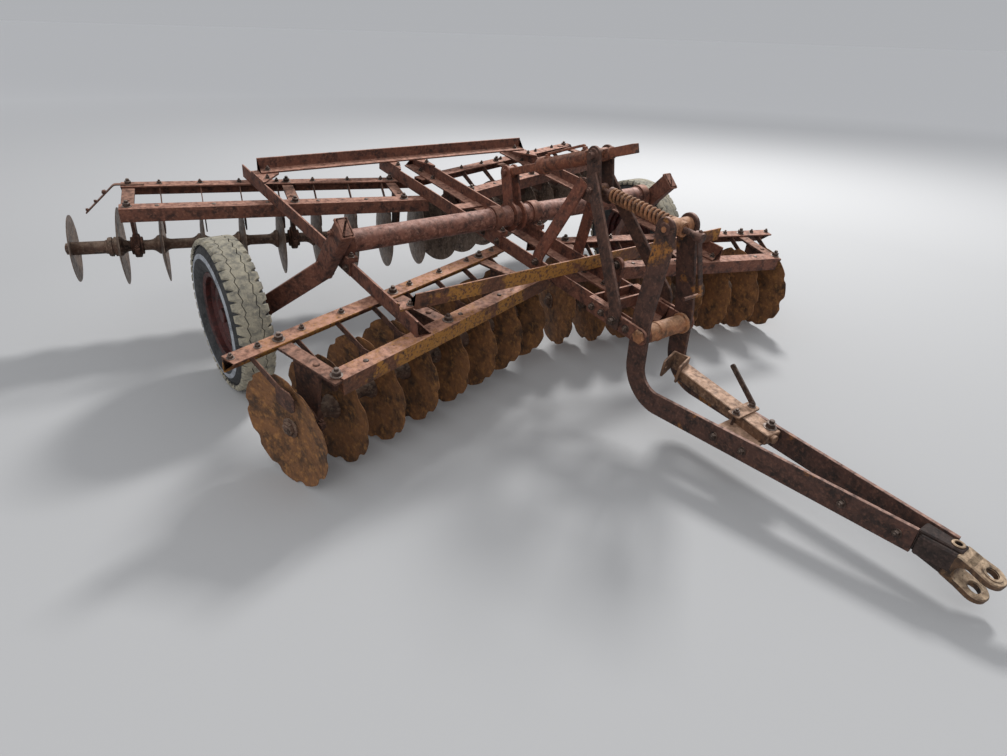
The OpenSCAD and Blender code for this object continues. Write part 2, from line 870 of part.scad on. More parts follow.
// Two angles with their upright flanges outside and their top flanges turned to each other
module gang_beams(front_a, front_b, back_a, back_b) {
    translate([0, -beam_half, -rail_h])
        angle_bar(front_a, front_b, beam_h, beam_flange, beam_t, top = true);
    translate([0, beam_half, -rail_h])
        mirror([0, 1, 0])
            angle_bar(back_a, back_b, beam_h, beam_flange, beam_t, top = true);
}

// One bearing with its plate and the strap that bolts under the two beams
module gang_hanger(u) {
    strap_top = -rail_h - beam_t;
    half = beam_half - beam_t - running_gap;
    difference() {
        union() {
            translate([u - hanger_strap_w / 2, -half, strap_top - hanger_strap_t])
                cube([hanger_strap_w, 2 * half, hanger_strap_t]);
            translate([u - hanger_t / 2, 0, 0])
                rotate([90, 0, 90])
                    linear_extrude(hanger_t)
                        polygon([
                            [-hanger_top, strap_top - hanger_strap_t / 2],
                            [hanger_top, strap_top - hanger_strap_t / 2],
                            [hanger_low, -gang_drop],
                            [-hanger_low, -gang_drop]
                        ]);
            across(u, 0, -gang_drop)
                cylinder(h = gang_bearing_l, r = gang_bearing_r, center = true);
        }
        across(u, 0, -gang_drop)
            cylinder(h = 2 * gang_bearing_l, r = spool_waist_r + running_gap, center = true);
    }
}

module gang_hangers(pitch_u, slots) {
    for (slot = slots)
        gang_hanger((slot + hanger_place) * pitch_u);
}

// Half section of a disc: its flat middle and the dished band round it
module disc_section(r, depth) {
    bore = gang_shaft_r + running_gap;
    translate([bore, 0])
        square([disc_flat_r + bite - bore, disc_t]);
    intersection() {
        translate([disc_flat_r, 0])
            square([r - disc_flat_r, depth + disc_t]);
        difference() {
            translate([0, dish_z])
                circle(dish_r);
            translate([0, dish_z + disc_t])
                circle(dish_r);
        }
    }
}

// A dished disc whose flat middle lies at X = 0, its edge set off along X by the dish
module dished_disc(r, depth, sign, notches) {
    rotate([0, sign * 90, 0])
        translate([0, 0, -disc_t / 2])
            difference() {
                rotate_extrude()
                    disc_section(r, depth);
                for (i = [0:1:notches - 1])
                    rotate([0, 0, (i + 0.5) * 360 / notches])
                        translate([r + notch_out, 0, -bite])
                            cylinder(h = depth + 2 * disc_t, r = notch_r);
            }
}

module disc_row(count, pitch_u, r, depth, sign, notches) {
    for (i = [0:1:count - 1])
        translate([i * pitch_u, 0, -gang_drop])
            dished_disc(r, depth, sign, notches);
}

// Half section of a spool's bell: a round shoulder that runs out in a hollow curve to the waist
module bell_section() {
    edge = spool_end_r - spool_edge_r;
    rise = spool_bell - spool_edge_h;
    hollow_r = (pow(spool_waist_r - edge, 2) + pow(rise, 2) - pow(spool_edge_r, 2))
        / (2 * (spool_end_r - spool_waist_r));
    meet = spool_edge_r / (hollow_r + spool_edge_r);
    meet_q = edge + meet * (spool_waist_r + hollow_r - edge);
    square([spool_end_r, spool_edge_h]);
    translate([edge, spool_edge_h])
        circle(spool_edge_r);
    difference() {
        polygon([
            [0, 0],
            [meet_q, 0],
            [meet_q, spool_edge_h + meet * rise],
            [spool_waist_r + hollow_r, spool_bell],
            [0, spool_bell]
        ]);
        translate([spool_waist_r + hollow_r, spool_bell])
            circle(hollow_r);
    }
}

// The gang shaft with a bell-ended spool between each pair of discs
module spool(u0, u1) {
    across(u0, 0, -gang_drop)
        rotate_extrude()
            intersection() {
                union() {
                    bell_section();
                    square([spool_waist_r, u1 - u0]);
                    translate([0, u1 - u0])
                        mirror([0, 1])
                            bell_section();
                }
                square([spool_end_r, u1 - u0]);
            }
}

module shaft_with_spools(count, pitch_u, start_u) {
    end_u = (count - 1) * pitch_u;
    for (i = [0:1:count - 2])
        spool(i * pitch_u + disc_t / 2, (i + 1) * pitch_u - disc_t / 2);
    across(start_u, 0, -gang_drop)
        cylinder(h = end_u - start_u, r = gang_shaft_r);
    across(end_u + disc_t / 2, 0, -gang_drop)
        cylinder(h = shaft_end, r = shaft_nut_r);
    across(end_u - bite, 0, -gang_drop)
        cylinder(h = shaft_end, r = gang_shaft_r);
}

module front_spools() {
    shaft_with_spools(front_discs, front_pitch, 0);
    across(-shaft_end - disc_t / 2, 0, -gang_drop)
        cylinder(h = shaft_end, r = shaft_nut_r);
    across(-shaft_end, 0, -gang_drop)
        cylinder(h = 2 * shaft_end, r = gang_shaft_r);
}

module rear_spools() {
    shaft_with_spools(rear_discs, rear_pitch, -filler_gap - shaft_end);
    across(-filler_gap + disc_t / 2, 0, -gang_drop)
        cylinder(h = filler_gap - disc_t, r = filler_spool_r);
    across(-disc_t / 2 - shaft_end, 0, -gang_drop)
        cylinder(h = shaft_end, r = spool_end_r);
    across(-filler_gap - disc_t / 2 - shaft_end, 0, -gang_drop)
        cylinder(h = shaft_end, r = shaft_nut_r);
}

// A thin arm slanting forward from under the rear beam, with a blade close to the hollow of its disc
module scraper(u, sign, depth, r) {
    face = sign * (depth + disc_t / 2 + scraper_gap);
    top = -rail_h - beam_t;
    back = beam_half - beam_t - running_gap;
    blade_top = r - gang_drop - scraper_sink;
    translate([u + face - (sign < 0 ? scraper_t : 0), 0, 0])
        rotate([90, 0, 90])
            linear_extrude(scraper_t) {
                polygon([
                    [back, top],
                    [back - scraper_hold, top],
                    [-scraper_tip, blade_top],
                    [-scraper_tip, blade_top - scraper_arm_w],
                    [back, top - scraper_arm_w / 2]
                ]);
                translate([scraper_arm_w - scraper_tip - scraper_blade_l, blade_top - scraper_blade_h])
                    square([scraper_blade_l, scraper_blade_h]);
            }
}

module scraper_row(first, last, pitch_u, sign, depth, r) {
    for (i = [first:1:last])
        scraper(i * pitch_u, sign, depth, r);
}

// The bent strap that carries the furrow filler's scraper, on the rear beam's outer end
module filler_scraper() {
    strap_y = beam_half - beam_flange + 1.5 * scraper_arm_w;
    held = rear_beam_a + filler_hold;
    knee = rear_beam_a - filler_reach;
    low_u = knee - filler_drop_w;
    translate([0, strap_y, -rail_h])
        rotate([90, 0, 0])
            linear_extrude(scraper_arm_w)
                polygon([
                    [held, 0],
                    [held, scraper_t],
                    [knee, scraper_t],
                    [low_u - scraper_t, -filler_drop_h],
                    [low_u, -filler_drop_h],
                    [knee + scraper_t / 2, 0]
                ]);
}

module front_beam_set() {
    gang_beams(front_beam_a, front_beam_b, front_back_a, front_back_b);
}

module rear_beam_set() {
    gang_beams(rear_beam_a, rear_beam_b, rear_beam_a, rear_beam_b);
}

module front_left_beams() {
    color("#8a6236") front_left_gang() front_beam_set();
}

module front_right_beams() {
    color("#8a6236") to_right() front_left_gang() front_beam_set();
}

module rear_left_beams() {
    color("#704839") rear_left_gang() rear_beam_set();
}

module rear_right_beams() {
    color("#704839") to_right() rear_left_gang() rear_beam_set();
}

module front_left_hangers() {
    color("#7e5240") front_left_gang() gang_hangers(front_pitch, front_slots);
}

module front_right_hangers() {
    color("#7e5240") to_right() front_left_gang() gang_hangers(front_pitch, front_slots);
}

module rear_left_hangers() {
    color("#6b4334") rear_left_gang() gang_hangers(rear_pitch, rear_slots);
}

module rear_right_hangers() {
    color("#6b4334") to_right() rear_left_gang() gang_hangers(rear_pitch, rear_slots);
}

module front_scraper_set() {
    scraper_row(0, front_discs - 1, front_pitch, front_sign, front_depth, front_disc_r);
}

module rear_scraper_set() {
    scraper_row(1, rear_discs - 2, rear_pitch, rear_sign, rear_depth, rear_disc_r);
    filler_scraper();
}

module front_left_scrapers() {
    color("#57403a") front_left_gang() front_scraper_set();
}

module front_right_scrapers() {
    color("#57403a") to_right() front_left_gang() front_scraper_set();
}

module rear_left_scrapers() {
    color("#57403a") rear_left_gang() rear_scraper_set();
}

module rear_right_scrapers() {
    color("#57403a") to_right() rear_left_gang() rear_scraper_set();
}

module front_disc_set() {
    disc_row(front_discs, front_pitch, front_disc_r, front_depth, front_sign, front_notches);
}

module rear_disc_set() {
    disc_row(rear_discs, rear_pitch, rear_disc_r, rear_depth, rear_sign, 0);
    translate([-filler_gap, 0, -gang_drop])
        dished_disc(filler_r, filler_depth, rear_sign, 0);
}

module front_left_discs() {
    color("#9c6a2e") front_left_gang() front_disc_set();
}

module front_right_discs() {
    color("#9c6a2e") to_right() front_left_gang() front_disc_set();
}

module rear_left_discs() {
    color("#8b7463") rear_left_gang() rear_disc_set();
}

module rear_right_discs() {
    color("#8b7463") to_right() rear_left_gang() rear_disc_set();
}

module front_left_spools() {
    color("#5d4336") front_left_gang() front_spools();
}

module front_right_spools() {
    color("#5d4336") to_right() front_left_gang() front_spools();
}

module rear_left_spools() {
    color("#5d4336") rear_left_gang() rear_spools();
}

module rear_right_spools() {
    color("#5d4336") to_right() rear_left_gang() rear_spools();
}

// Rockshaft

module rockshaft_tube() {
    color("#94604f")
        stance()
            across(0, 0, shaft_z)
                difference() {
                    cylinder(h = 2 * shaft_half, r = shaft_r, center = true);
                    cylinder(h = 2 * shaft_half + 2, r = shaft_r - shaft_wall, center = true);
                }
}

module lever_plate() {
    translate([rod_eye_w / 2, 0, shaft_z])
        rotate([90, 0, 90])
            linear_extrude(lever_t)
                difference() {
                    rotate(lever_slope) {
                        circle(shaft_r + lever_ring);
                        translate([0, -lever_r])
                            square([norm([lever_pin_y, lever_pin_z - shaft_z]), 2 * lever_r]);
                        translate([norm([lever_pin_y, lever_pin_z - shaft_z]), 0])
                            circle(lever_r);
                    }
                    circle(shaft_r + running_gap);
                }
    across(rod_eye_w / 2 + lever_t - bite, lever_pin_y, lever_pin_z)
        cylinder(h = lever_pin_l, r = lever_pin_r);
}

module rockshaft_lever() {
    color("#5a3d34")
        stance()
            for (side = [0, 1])
                mirror([side, 0, 0])
                    lever_plate();
}

// A box bar between two points, its width lying level, run on at both ends
module box_bar(p, q, w, d, lap) {
    v = q - p;
    translate(p)
        rotate([0, 0, -atan2(v.x, v.y)])
            rotate([atan2(v.z, norm([v.x, v.y])), 0, 0])
                translate([-w / 2, -lap, -d / 2])
                    cube([w, norm(v) + 2 * lap, d]);
}

// A box arm that comes down past the shaft's end and turns outwards at its elbow to the wheel
module wheel_arm() {
    mid_x = shaft_half + arm_w / 2;
    translate([shaft_half, 0, shaft_z])
        rotate([-arm_slope, 0, 0]) {
            translate([0, -arm_tail, -arm_offset - arm_d / 2])
                cube([arm_w, arm_tail + arm_elbow + arm_lap, arm_d]);
            translate([-cap_lip, -arm_tail - cap_t, -arm_offset - arm_d / 2 - cap_lip])
                cube([arm_w + 2 * cap_lip, cap_t + bite, arm_d + 2 * cap_lip]);
        }
    box_bar([mid_x, elbow_y, elbow_z], [arm_end_x, hub_y, hub_z], arm_w, arm_d, arm_lap);
    across(arm_end_x, hub_y, hub_z)
        cylinder(h = wheel_x - arm_end_x, r = spindle_r);
}

module left_wheel_arm() {
    color("#6d4538") stance() mirror([1, 0, 0]) wheel_arm();
}

module right_wheel_arm() {
    color("#6d4538") stance() wheel_arm();
}

// Wheels

// Rim with its dish plate and hub, drawn round Z with the outside of the machine upwards
module rim_profile() {
    half = rim_w / 2;
    difference() {
        rotate_extrude() {
            polygon([
                [rim_r - rim_t, -half],
                [rim_edge_r, -half - rim_t],
                [rim_edge_r, -half],
                [rim_r, -half + rim_t],
                [rim_r, half - rim_t],
                [rim_edge_r, half],
                [rim_edge_r, half + rim_t],
                [rim_r - rim_t, half]
            ]);
            translate([hub_r - rim_t, dish_offset])
                square([rim_r - hub_r, dish_t]);
            translate([0, -half - hub_back])
                square([hub_r, half + hub_back + dish_offset + dish_t]);
            translate([0, dish_offset])
                square([hub_cap_r, hub_cap_l]);
        }
        translate([0, 0, -half - hub_back - bite])
            cylinder(h = half + hub_back + 2 * running_gap, r = spindle_r + running_gap);
    }
}

// Half section of the tyre, set in from its outer skin
module tyre_section(inset) {
    flat = tread_w / 2 - shoulder_r;
    translate([belly_r, 0])
        circle(tyre_w / 2 - inset);
    translate([belly_r, -tread_w / 2 + inset])
        square([tyre_r - shoulder_r - belly_r, tread_w - 2 * inset]);
    translate([belly_r, -flat])
        square([tyre_r - inset - belly_r, 2 * flat]);
    for (side = [-1, 1])
        translate([tyre_r - shoulder_r, side * flat])
            circle(shoulder_r - inset);
}

// Tyre as a casing that is open towards the rim, drawn round Z
module tyre_profile() {
    bead = rim_w / 2 - rim_t - running_gap;
    low = rim_r + running_gap;
    rotate_extrude()
        difference() {
            union() {
                difference() {
                    tyre_section(0);
                    translate([0, -tyre_w])
                        square([rim_edge_r + running_gap, 2 * tyre_w]);
                }
                translate([low, -bead])
                    square([bead_h, 2 * bead]);
            }
            tyre_section(tyre_wall);
            translate([0, -bead + tyre_wall])
                square([belly_r, 2 * (bead - tyre_wall)]);
        }
}

module left_rim() {
    color("#5c211b") stance() mirror([1, 0, 0]) across(wheel_x, hub_y, hub_z) rim_profile();
}

module left_tyre() {
    color("#4a4744") stance() mirror([1, 0, 0]) across(wheel_x, hub_y, hub_z) tyre_profile();
}

module right_rim() {
    color("#5c211b") stance() across(wheel_x, hub_y, hub_z) rim_profile();
}

module right_tyre() {
    color("#4a4744") stance() across(wheel_x, hub_y, hub_z) tyre_profile();
}

// Drawbar

// Side view of the arm's lower part: the neck down from the lean, and the bend into the tongue
module neck_outline() {
    wide = 2 * bend_r;
    neck_z = bend_z - bend_r * sin(neck_slant);
    translate([bend_y, bend_z])
        intersection() {
            difference() {
                circle(bend_r + bar_w / 2);
                circle(bend_r - bar_w / 2);
            }
            polygon([
                [0, 0],
                [wide * cos(neck_slant), -wide * sin(neck_slant)],
                [wide, -wide],
                [-wide * sin(tongue_rise), -wide * cos(tongue_rise)]
            ]);
        }
    translate([neck_at(neck_z), neck_z])
        rotate(-neck_slant)
            translate([-bar_w / 2, -1])
                square([bar_w, (lean_z - neck_z) / cos(neck_slant) + 12]);
}

module drawbar_arm(short) {
    difference() {
        union() {
            translate([arm_in, 0, 0])
                rotate([90, 0, 90])
                    linear_extrude(bar_t)
                        neck_outline();
            translate([tongue_end_half, tongue_end_y, tongue_end_z])
                rotate([-tongue_rise, 0, 0])
                    rotate([0, 0, -tongue_yaw])
                        translate([0, short, -bar_w / 2])
                            cube([bar_t, tongue_run / cos(tongue_yaw) + 1 - short, bar_w]);
            leaning_part();
            upright_part();
        }
        across(0, pivot_y, pivot_z)
            cylinder(h = through, r = pivot_r + running_gap, center = true);
        across(0, top_pin_y, top_pin_z)
            cylinder(h = through, r = screw_pin_r + running_gap, center = true);
    }
}

module leaning_part() {
    low = [arm_in + bar_t / 2, neck_at(lean_z), lean_z];
    high = [top_half + bar_t / 2, neck_at(upright_z), upright_z];
    intersection() {
        bar_between(low, high);
        translate([0, -through, lean_z - 20])
            cube([through, 2 * through, upright_z - lean_z + 30]);
    }
}

// A rectangular bar standing between two points, its width
module bar_between(p, q) {
    d = q - p;
    translate(p)
        rotate([0, atan2(d.x, d.z), 0])
            rotate([atan2(-d.y, norm([d.x, d.z])), 0, 0])
                translate([-bar_t / 2, -bar_w / 2, -6])
                    cube([bar_t, bar_w, norm(d) + 12]);
}

module upright_part() {
    translate([top_half, 0, 0])
        rotate([90, 0, 90])
            linear_extrude(bar_t) {
                translate([neck_at(upright_z) - bar_w / 2, upright_z])
                    square([bar_w, top_pin_z - upright_z]);
                translate([top_pin_y, top_pin_z])
                    circle(bar_w / 2);
            }
}

module left_drawbar_arm() {
    color("#5d4338") stance() mirror([1, 0, 0]) drawbar_arm(left_short);
}

module right_drawbar_arm() {
    color("#5d4338") stance() drawbar_arm(0);
}

module pivot_cheeks() {
    color("#6a463a")
        stance()
            for (side = [0, 1])
                mirror([side, 0, 0])
                    difference() {
                        union() {
                            translate([cheek_x, pivot_y, -rail_h])
                                cube([cheek_t, cheek_rear_y - pivot_y, rail_h]);
                            across(cheek_x, pivot_y, -rail_h / 2)
                                cylinder(h = cheek_t, r = rail_h / 2);
                            translate([centre_x, packing_y, -rail_h])
                                cube([cheek_x - centre_x + bite, cheek_rear_y - packing_y, rail_h]);
                        }
                        across(0, pivot_y, pivot_z)
                            cylinder(h = through, r = pivot_r + running_gap, center = true);
                    }
}

module pivot_pin() {
    spacer_half = centre_x - rail_t - running_gap;
    pin_half = cheek_x + cheek_t + pivot_pin_end;
    color("#c08a55")
        stance()
            across(0, pivot_y, pivot_z) {
                cylinder(h = 2 * spacer_half, r = spacer_r, center = true);
                cylinder(h = 2 * pin_half, r = pivot_r, center = true);
            }
}

// Clevis casting: a body between the arms, a block in front of them and two drooping jaws
module hitch_clevis() {
    color("#a08672")
        stance()
            translate([0, tongue_end_y, tongue_end_z])
                rotate([-tongue_rise, 0, 0]) {
                    clevis_body();
                    translate([0, -jaw_reach, -jaw_drop])
                        rotate([jaw_droop, 0, 0])
                            clevis_jaws();
                }
}

// The body between the arms, drawn along the tongue from the right arm's front end
module clevis_body() {
    half = tongue_end_half - arm_side_gap;
    front = throat_reach - jaw_reach;
    translate([0, 0, -clevis_low])
        linear_extrude(clevis_low + clevis_top)
            polygon([
                [-half, front],
                [half, front],
                [half, 0],
                [half + clevis_back * tan(tongue_yaw), clevis_back],
                [-half - clevis_back * tan(tongue_yaw), clevis_back],
                [-half, 0]
            ]);
}

// The block and the two jaws, drawn round the hitch pin
module clevis_jaws() {
    height = jaw_gap + 2 * jaw_t;
    wide = tongue_end_half + bar_t;
    throat_y = throat_reach - jaw_gap / 2;
    difference() {
        translate([0, 0, -height / 2])
            linear_extrude(height) {
                circle(jaw_r);
                polygon([
                    [-jaw_r, 0],
                    [jaw_r, 0],
                    [wide, throat_y],
                    [wide, block_reach],
                    [-wide, block_reach],
                    [-wide, throat_y]
                ]);
            }
        translate([-through, throat_y - through, -jaw_gap / 2])
            cube([2 * through, through, jaw_gap]);
        across(0, throat_y, 0)
            cylinder(h = through, r = jaw_gap / 2, center = true);
        cylinder(h = through, r = hitch_hole_r, center = true);
    }
}

module spring_trunnion() {
    inner = top_half - running_gap;
    color("#a8703f")
        stance()
            difference() {
                union() {
                    across(0, top_pin_y, top_pin_z)
                        cylinder(h = 2 * inner, r = trunnion_r, center = true);
                    across(0, top_pin_y, top_pin_z)
                        cylinder(h = 2 * (top_half + bar_t + trunnion_end), r = screw_pin_r, center = true);
                }
                translate([0, top_pin_y, top_pin_z])
                    rotate([90, 0, 0])
                        cylinder(h = 4 * trunnion_r, r = screw_r + trunnion_play, center = true);
            }
}

// Levelling screw

module levelling_rod() {
    color("#6e5142")
        stance()
            translate([0, screw_pin_y, top_pin_z])
                difference() {
                    union() {
                        across(0, 0, 0)
                            cylinder(h = 2 * (head_x - running_gap), r = screw_eye_r, center = true);
                        rotate([90, 0, 0])
                            cylinder(h = crank_reach, r = screw_r);
                        translate([0, -spring_start + 2 * wire_r + 1, 0])
                            rotate([90, 0, 0])
                                cylinder(h = 2 * wire_r, r = spring_r);
                    }
                    across(0, 0, 0)
                        cylinder(h = through, r = screw_pin_r + running_gap, center = true);
                }
}

// The spring as a row of touching rings' outline: one sleeve of its wire's thickness
module levelling_spring() {
    free = screw_len - trunnion_r - spring_start;
    ring = free / coils;
    color("#a9764c")
        stance()
            translate([0, screw_pin_y - spring_start, top_pin_z])
                rotate([90, 0, 0])
                    rotate_extrude()
                        difference() {
                            union() {
                                translate([spring_r - 2 * wire_r, 0])
                                    square([wire_r, free - 1]);
                                for (i = [0:1:coils - 1])
                                    translate([spring_r - wire_r, (i + 0.5) * ring])
                                        circle(wire_r);
                            }
                            translate([0, -wire_r])
                                square([spring_r - 2 * wire_r, free + 4 * wire_r]);
                        }
}

module levelling_crank() {
    color("#4c423c")
        stance()
            translate([0, screw_pin_y - crank_reach, top_pin_z]) {
                rotate([90, 0, 0])
                    cylinder(h = crank_boss_l, r = crank_boss_r);
                translate([0, -crank_boss_l / 2, 0])
                    rotate([0, -crank_swing, 0]) {
                        rotate([0, 180, 0])
                            cylinder(h = crank_throw, r = crank_bar_r);
                        translate([0, 0, -crank_throw]) {
                            sphere(crank_bar_r);
                            rotate([0, crank_swing - 90, 0])
                                cylinder(h = crank_grip, r = crank_bar_r);
                        }
                    }
            }
}

// Stowed stand, lying in the tongue

module stand_frame() {
    translate([inner_half(stand_front_y) - stand_gap, stand_front_y, stand_top_z - stand_h])
        rotate([0, 0, -plan_yaw])
            children();
}

module foot_frame() {
    translate([foot_x, foot_y, foot_top_z - foot_h])
        rotate([0, 0, foot_turn])
            children();
}

// A bar beside the right arm with a channel foot, its flanges turned to the left
module stowed_stand() {
    color("#b59a80")
        stance() {
            difference() {
                stand_frame()
                    translate([-stand_w, 0, 0])
                        cube([stand_w, through, stand_h]);
                foot_frame()
                    translate([-through, plate_t / 2, -through])
                        cube(2 * through);
            }
            stand_frame()
                translate([-stand_w / 2, bite, stand_h / 2])
                    rotate([90, 0, 0])
                        cylinder(h = stub_l, r = stub_r);
            foot_frame()
                difference() {
                    union() {
                        for (flange_y = [0, foot_w - plate_t])
                            translate([-foot_l, flange_y, 0])
                                cube([foot_l, plate_t, foot_h]);
                        translate([-plate_t, 0, 0])
                            cube([plate_t, foot_w, foot_h]);
                    }
                    translate([-0.7 * foot_l, plate_t + bite, foot_h / 2])
                        rotate([-90, 0, 0])
                            cylinder(h = foot_w, r = foot_hole_r);
                }
        }
}

// The plate under the stand that ties the two arms, and the strap and lever bolted down over the bar
module stand_clamp() {
    low = stand_top_z - stand_h;
    y0 = clamp_y - clamp_plate_front;
    y1 = clamp_y + clamp_plate_back;
    bar_right = inner_half(clamp_y) - stand_gap;
    bar_left = bar_right - stand_w;
    bolt_right = bar_right + stand_gap / 2;
    lever_z = stand_top_z + plate_t + clamp_bolt_up;
    color("#a7643a")
        stance() {
            translate([0, 0, low - plate_t])
                linear_extrude(plate_t)
                    polygon([
                        [-inner_half(y0) + arm_side_gap, y0],
                        [inner_half(y0) - arm_side_gap, y0],
                        [inner_half(y1) - arm_side_gap, y1],
                        [-inner_half(y1) + arm_side_gap, y1]
                    ]);
            translate([bar_left - clamp_left, clamp_y - clamp_w / 2, stand_top_z])
                cube([clamp_left + stand_w + clamp_right, clamp_w, plate_t]);
            for (bolt_x = [bar_left - clamp_left / 2, bolt_right])
                translate([bolt_x, clamp_y, low - plate_t])
                    cylinder(h = stand_h + 2 * plate_t + clamp_bolt_up, r = clamp_bolt_r);
            translate([bolt_right, clamp_y, lever_z])
                strap([0, 0, 0], [0, lever_back, lever_up], lever_w, lever_thick);
        }
}

// Lift cylinder

// Draw along the cylinder: Y from the mast pin towards the lever's pin
module along_cylinder() {
    stance()
        translate([0, mast_pin_y, mast_pin_z])
            rotate([lift_slope, 0, 0])
                children();
}

module lift_barrel() {
    lug_half = head_x - running_gap;
    tube_start = head_r + barrel_clear;
    color("#8a5243")
        along_cylinder()
            difference() {
                union() {
                    across(0, 0, 0)
                        cylinder(h = 2 * lug_half, r = lug_r, center = true);
                    translate([-port_bar_side / 2, -port_bar_l, -port_bar_side / 2])
                        cube([port_bar_side, port_bar_l + tube_start + 6, port_bar_side]);
                    translate([0, tube_start, 0])
                        rotate([-90, 0, 0])
                            cylinder(h = gland_end - tube_start, r = barrel_r);
                    translate([0, gland_end - gland_l, 0])
                        rotate([-90, 0, 0])
                            cylinder(h = gland_l, r = gland_r);
                }
                translate([0, tube_start + 8, 0])
                    rotate([-90, 0, 0])
                        cylinder(h = gland_end - tube_start - 20, r = barrel_r - barrel_wall);
                translate([-rod_side / 2 - running_gap, tube_start + 20, -rod_side / 2 - running_gap])
                    cube([rod_side + 2 * running_gap, gland_end, rod_side + 2 * running_gap]);
                across(0, 0, 0)
                    cylinder(h = through, r = mast_pin_r + running_gap, center = true);
            }
}

module lift_rod() {
    color("#a06a4e")
        along_cylinder() {
            translate([-rod_side / 2, rod_inside, -rod_side / 2])
                cube([rod_side, lift_len - rod_inside, rod_side]);
            across(0, lift_len, 0)
                cylinder(h = rod_eye_w - 2 * running_gap, r = rod_eye_r, center = true);
        }
}

left_side_rail();
right_side_rail();
left_centre_rail();
right_centre_rail();
front_cross_angle();
rear_cross_angle();
gusset_plates();
centre_fittings();
pivot_cheeks();
pivot_pin();
rockshaft_bearings();
mast_head();
mast_front_legs();
mast_rear_legs();
front_left_beams();
front_left_hangers();
front_left_scrapers();
front_right_beams();
front_right_hangers();
front_right_scrapers();
rear_left_beams();
rear_left_hangers();
rear_left_scrapers();
rear_right_beams();
rear_right_hangers();
rear_right_scrapers();
front_left_discs();
front_left_spools();
front_right_discs();
front_right_spools();
rear_left_discs();
rear_left_spools();
rear_right_discs();
rear_right_spools();
rockshaft_tube();
rockshaft_lever();
left_wheel_arm();
right_wheel_arm();
left_rim();
left_tyre();
right_rim();
right_tyre();
left_drawbar_arm();
right_drawbar_arm();
hitch_clevis();
spring_trunnion();
stowed_stand();
stand_clamp();
levelling_rod();
levelling_spring();
levelling_crank();
lift_barrel();
lift_rod();
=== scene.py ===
import json
import math
import random

import bmesh
import bpy
from mathutils import Matrix, Vector, geometry, noise


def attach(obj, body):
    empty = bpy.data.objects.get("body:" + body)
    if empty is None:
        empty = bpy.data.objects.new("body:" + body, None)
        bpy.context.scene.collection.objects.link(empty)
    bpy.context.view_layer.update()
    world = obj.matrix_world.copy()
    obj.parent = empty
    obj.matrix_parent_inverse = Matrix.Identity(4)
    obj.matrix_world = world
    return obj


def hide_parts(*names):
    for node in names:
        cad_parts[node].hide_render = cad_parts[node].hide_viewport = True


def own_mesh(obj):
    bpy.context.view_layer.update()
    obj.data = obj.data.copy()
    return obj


# Looks of a parked disc harrow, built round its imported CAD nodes.
# Lengths are millimetres in the machine's own frame: X across, Y rearwards from the rockshaft,
# Z up from the top edge of the rails. piece() turns them into metres on the ground.

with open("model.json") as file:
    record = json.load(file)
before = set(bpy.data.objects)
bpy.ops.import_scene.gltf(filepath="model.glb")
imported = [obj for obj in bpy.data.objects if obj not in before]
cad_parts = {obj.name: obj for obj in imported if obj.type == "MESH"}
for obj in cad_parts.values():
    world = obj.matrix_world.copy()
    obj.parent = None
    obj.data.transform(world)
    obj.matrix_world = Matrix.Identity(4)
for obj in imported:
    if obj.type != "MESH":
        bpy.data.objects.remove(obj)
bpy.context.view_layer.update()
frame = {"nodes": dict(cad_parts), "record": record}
nodes = frame["nodes"]
random.seed(41)
print("frame loaded,", len(nodes), "CAD nodes")

stance = {"pitch": 8.5, "shiftY": 494.100, "groundZ": 668.975}
toGround = (
    Matrix.Translation((0, stance["shiftY"] / 1000, stance["groundZ"] / 1000))
    @ Matrix.Rotation(math.radians(stance["pitch"]), 4, "X")
    @ Matrix.Scale(0.001, 4)
)

# Gangs: outermost disc, sweep in degrees, discs and their pitch, beams' ends along the shaft
gangs = {
    "front": {
        "x": -1439, "y": -611, "sweep": 15.95, "count": 8, "pitch": 194, "radius": 236.5, "hollow": -1,
        "frontBeam": (84, 1410), "rearBeam": (-127, 1450), "slots": (0, 3, 6), "firstScraper": 0,
    },
    "rear": {
        "x": -1643, "y": 1204, "sweep": -13.3, "count": 9, "pitch": 200, "radius": 200, "hollow": 1,
        "frontBeam": (50, 1625), "rearBeam": (50, 1625), "slots": (0, 4, 7), "firstScraper": 1,
    },
}
axleZ = -345            # gang shafts, under the rails' top
beamHalf = 196          # from a gang's middle to the back of either beam
beamTop = -70           # the gang beams hang under the rails
underBeam = -79         # the lower face of a beam's flat leg, where straps are bolted
strapReach = 186.5      # straps stop just short of the beams' upright legs
across, along, up = Vector((1, 0, 0)), Vector((0, 1, 0)), Vector((0, 0, 1))


# Shapes: each gives (points, faces), and joined() makes one shape of several
def joined(parts):
    points, faces = [], []
    for partPoints, partFaces in parts:
        start = len(points)
        points += partPoints
        faces += [tuple(i + start for i in face) for face in partFaces]
    return points, faces


def moved(part, matrix):
    return [matrix @ Vector(p) for p in part[0]], part[1]


def mirrored(part):
    return [Vector((-p[0], p[1], p[2])) for p in part[0]], part[1]


def bothSides(parts):
    return parts + [mirrored(p) for p in parts]


def axes(origin, a, b):
    a, b = Vector(a), Vector(b)
    matrix = Matrix.Identity(4)
    for i, column in enumerate((a, b, a.cross(b), Vector(origin))):
        matrix.col[i][:3] = column
    return matrix


def pointing(origin, axis):
    turn = Vector(axis).normalized().to_track_quat("Z", "Y").to_matrix().to_4x4()
    return Matrix.Translation(Vector(origin)) @ turn


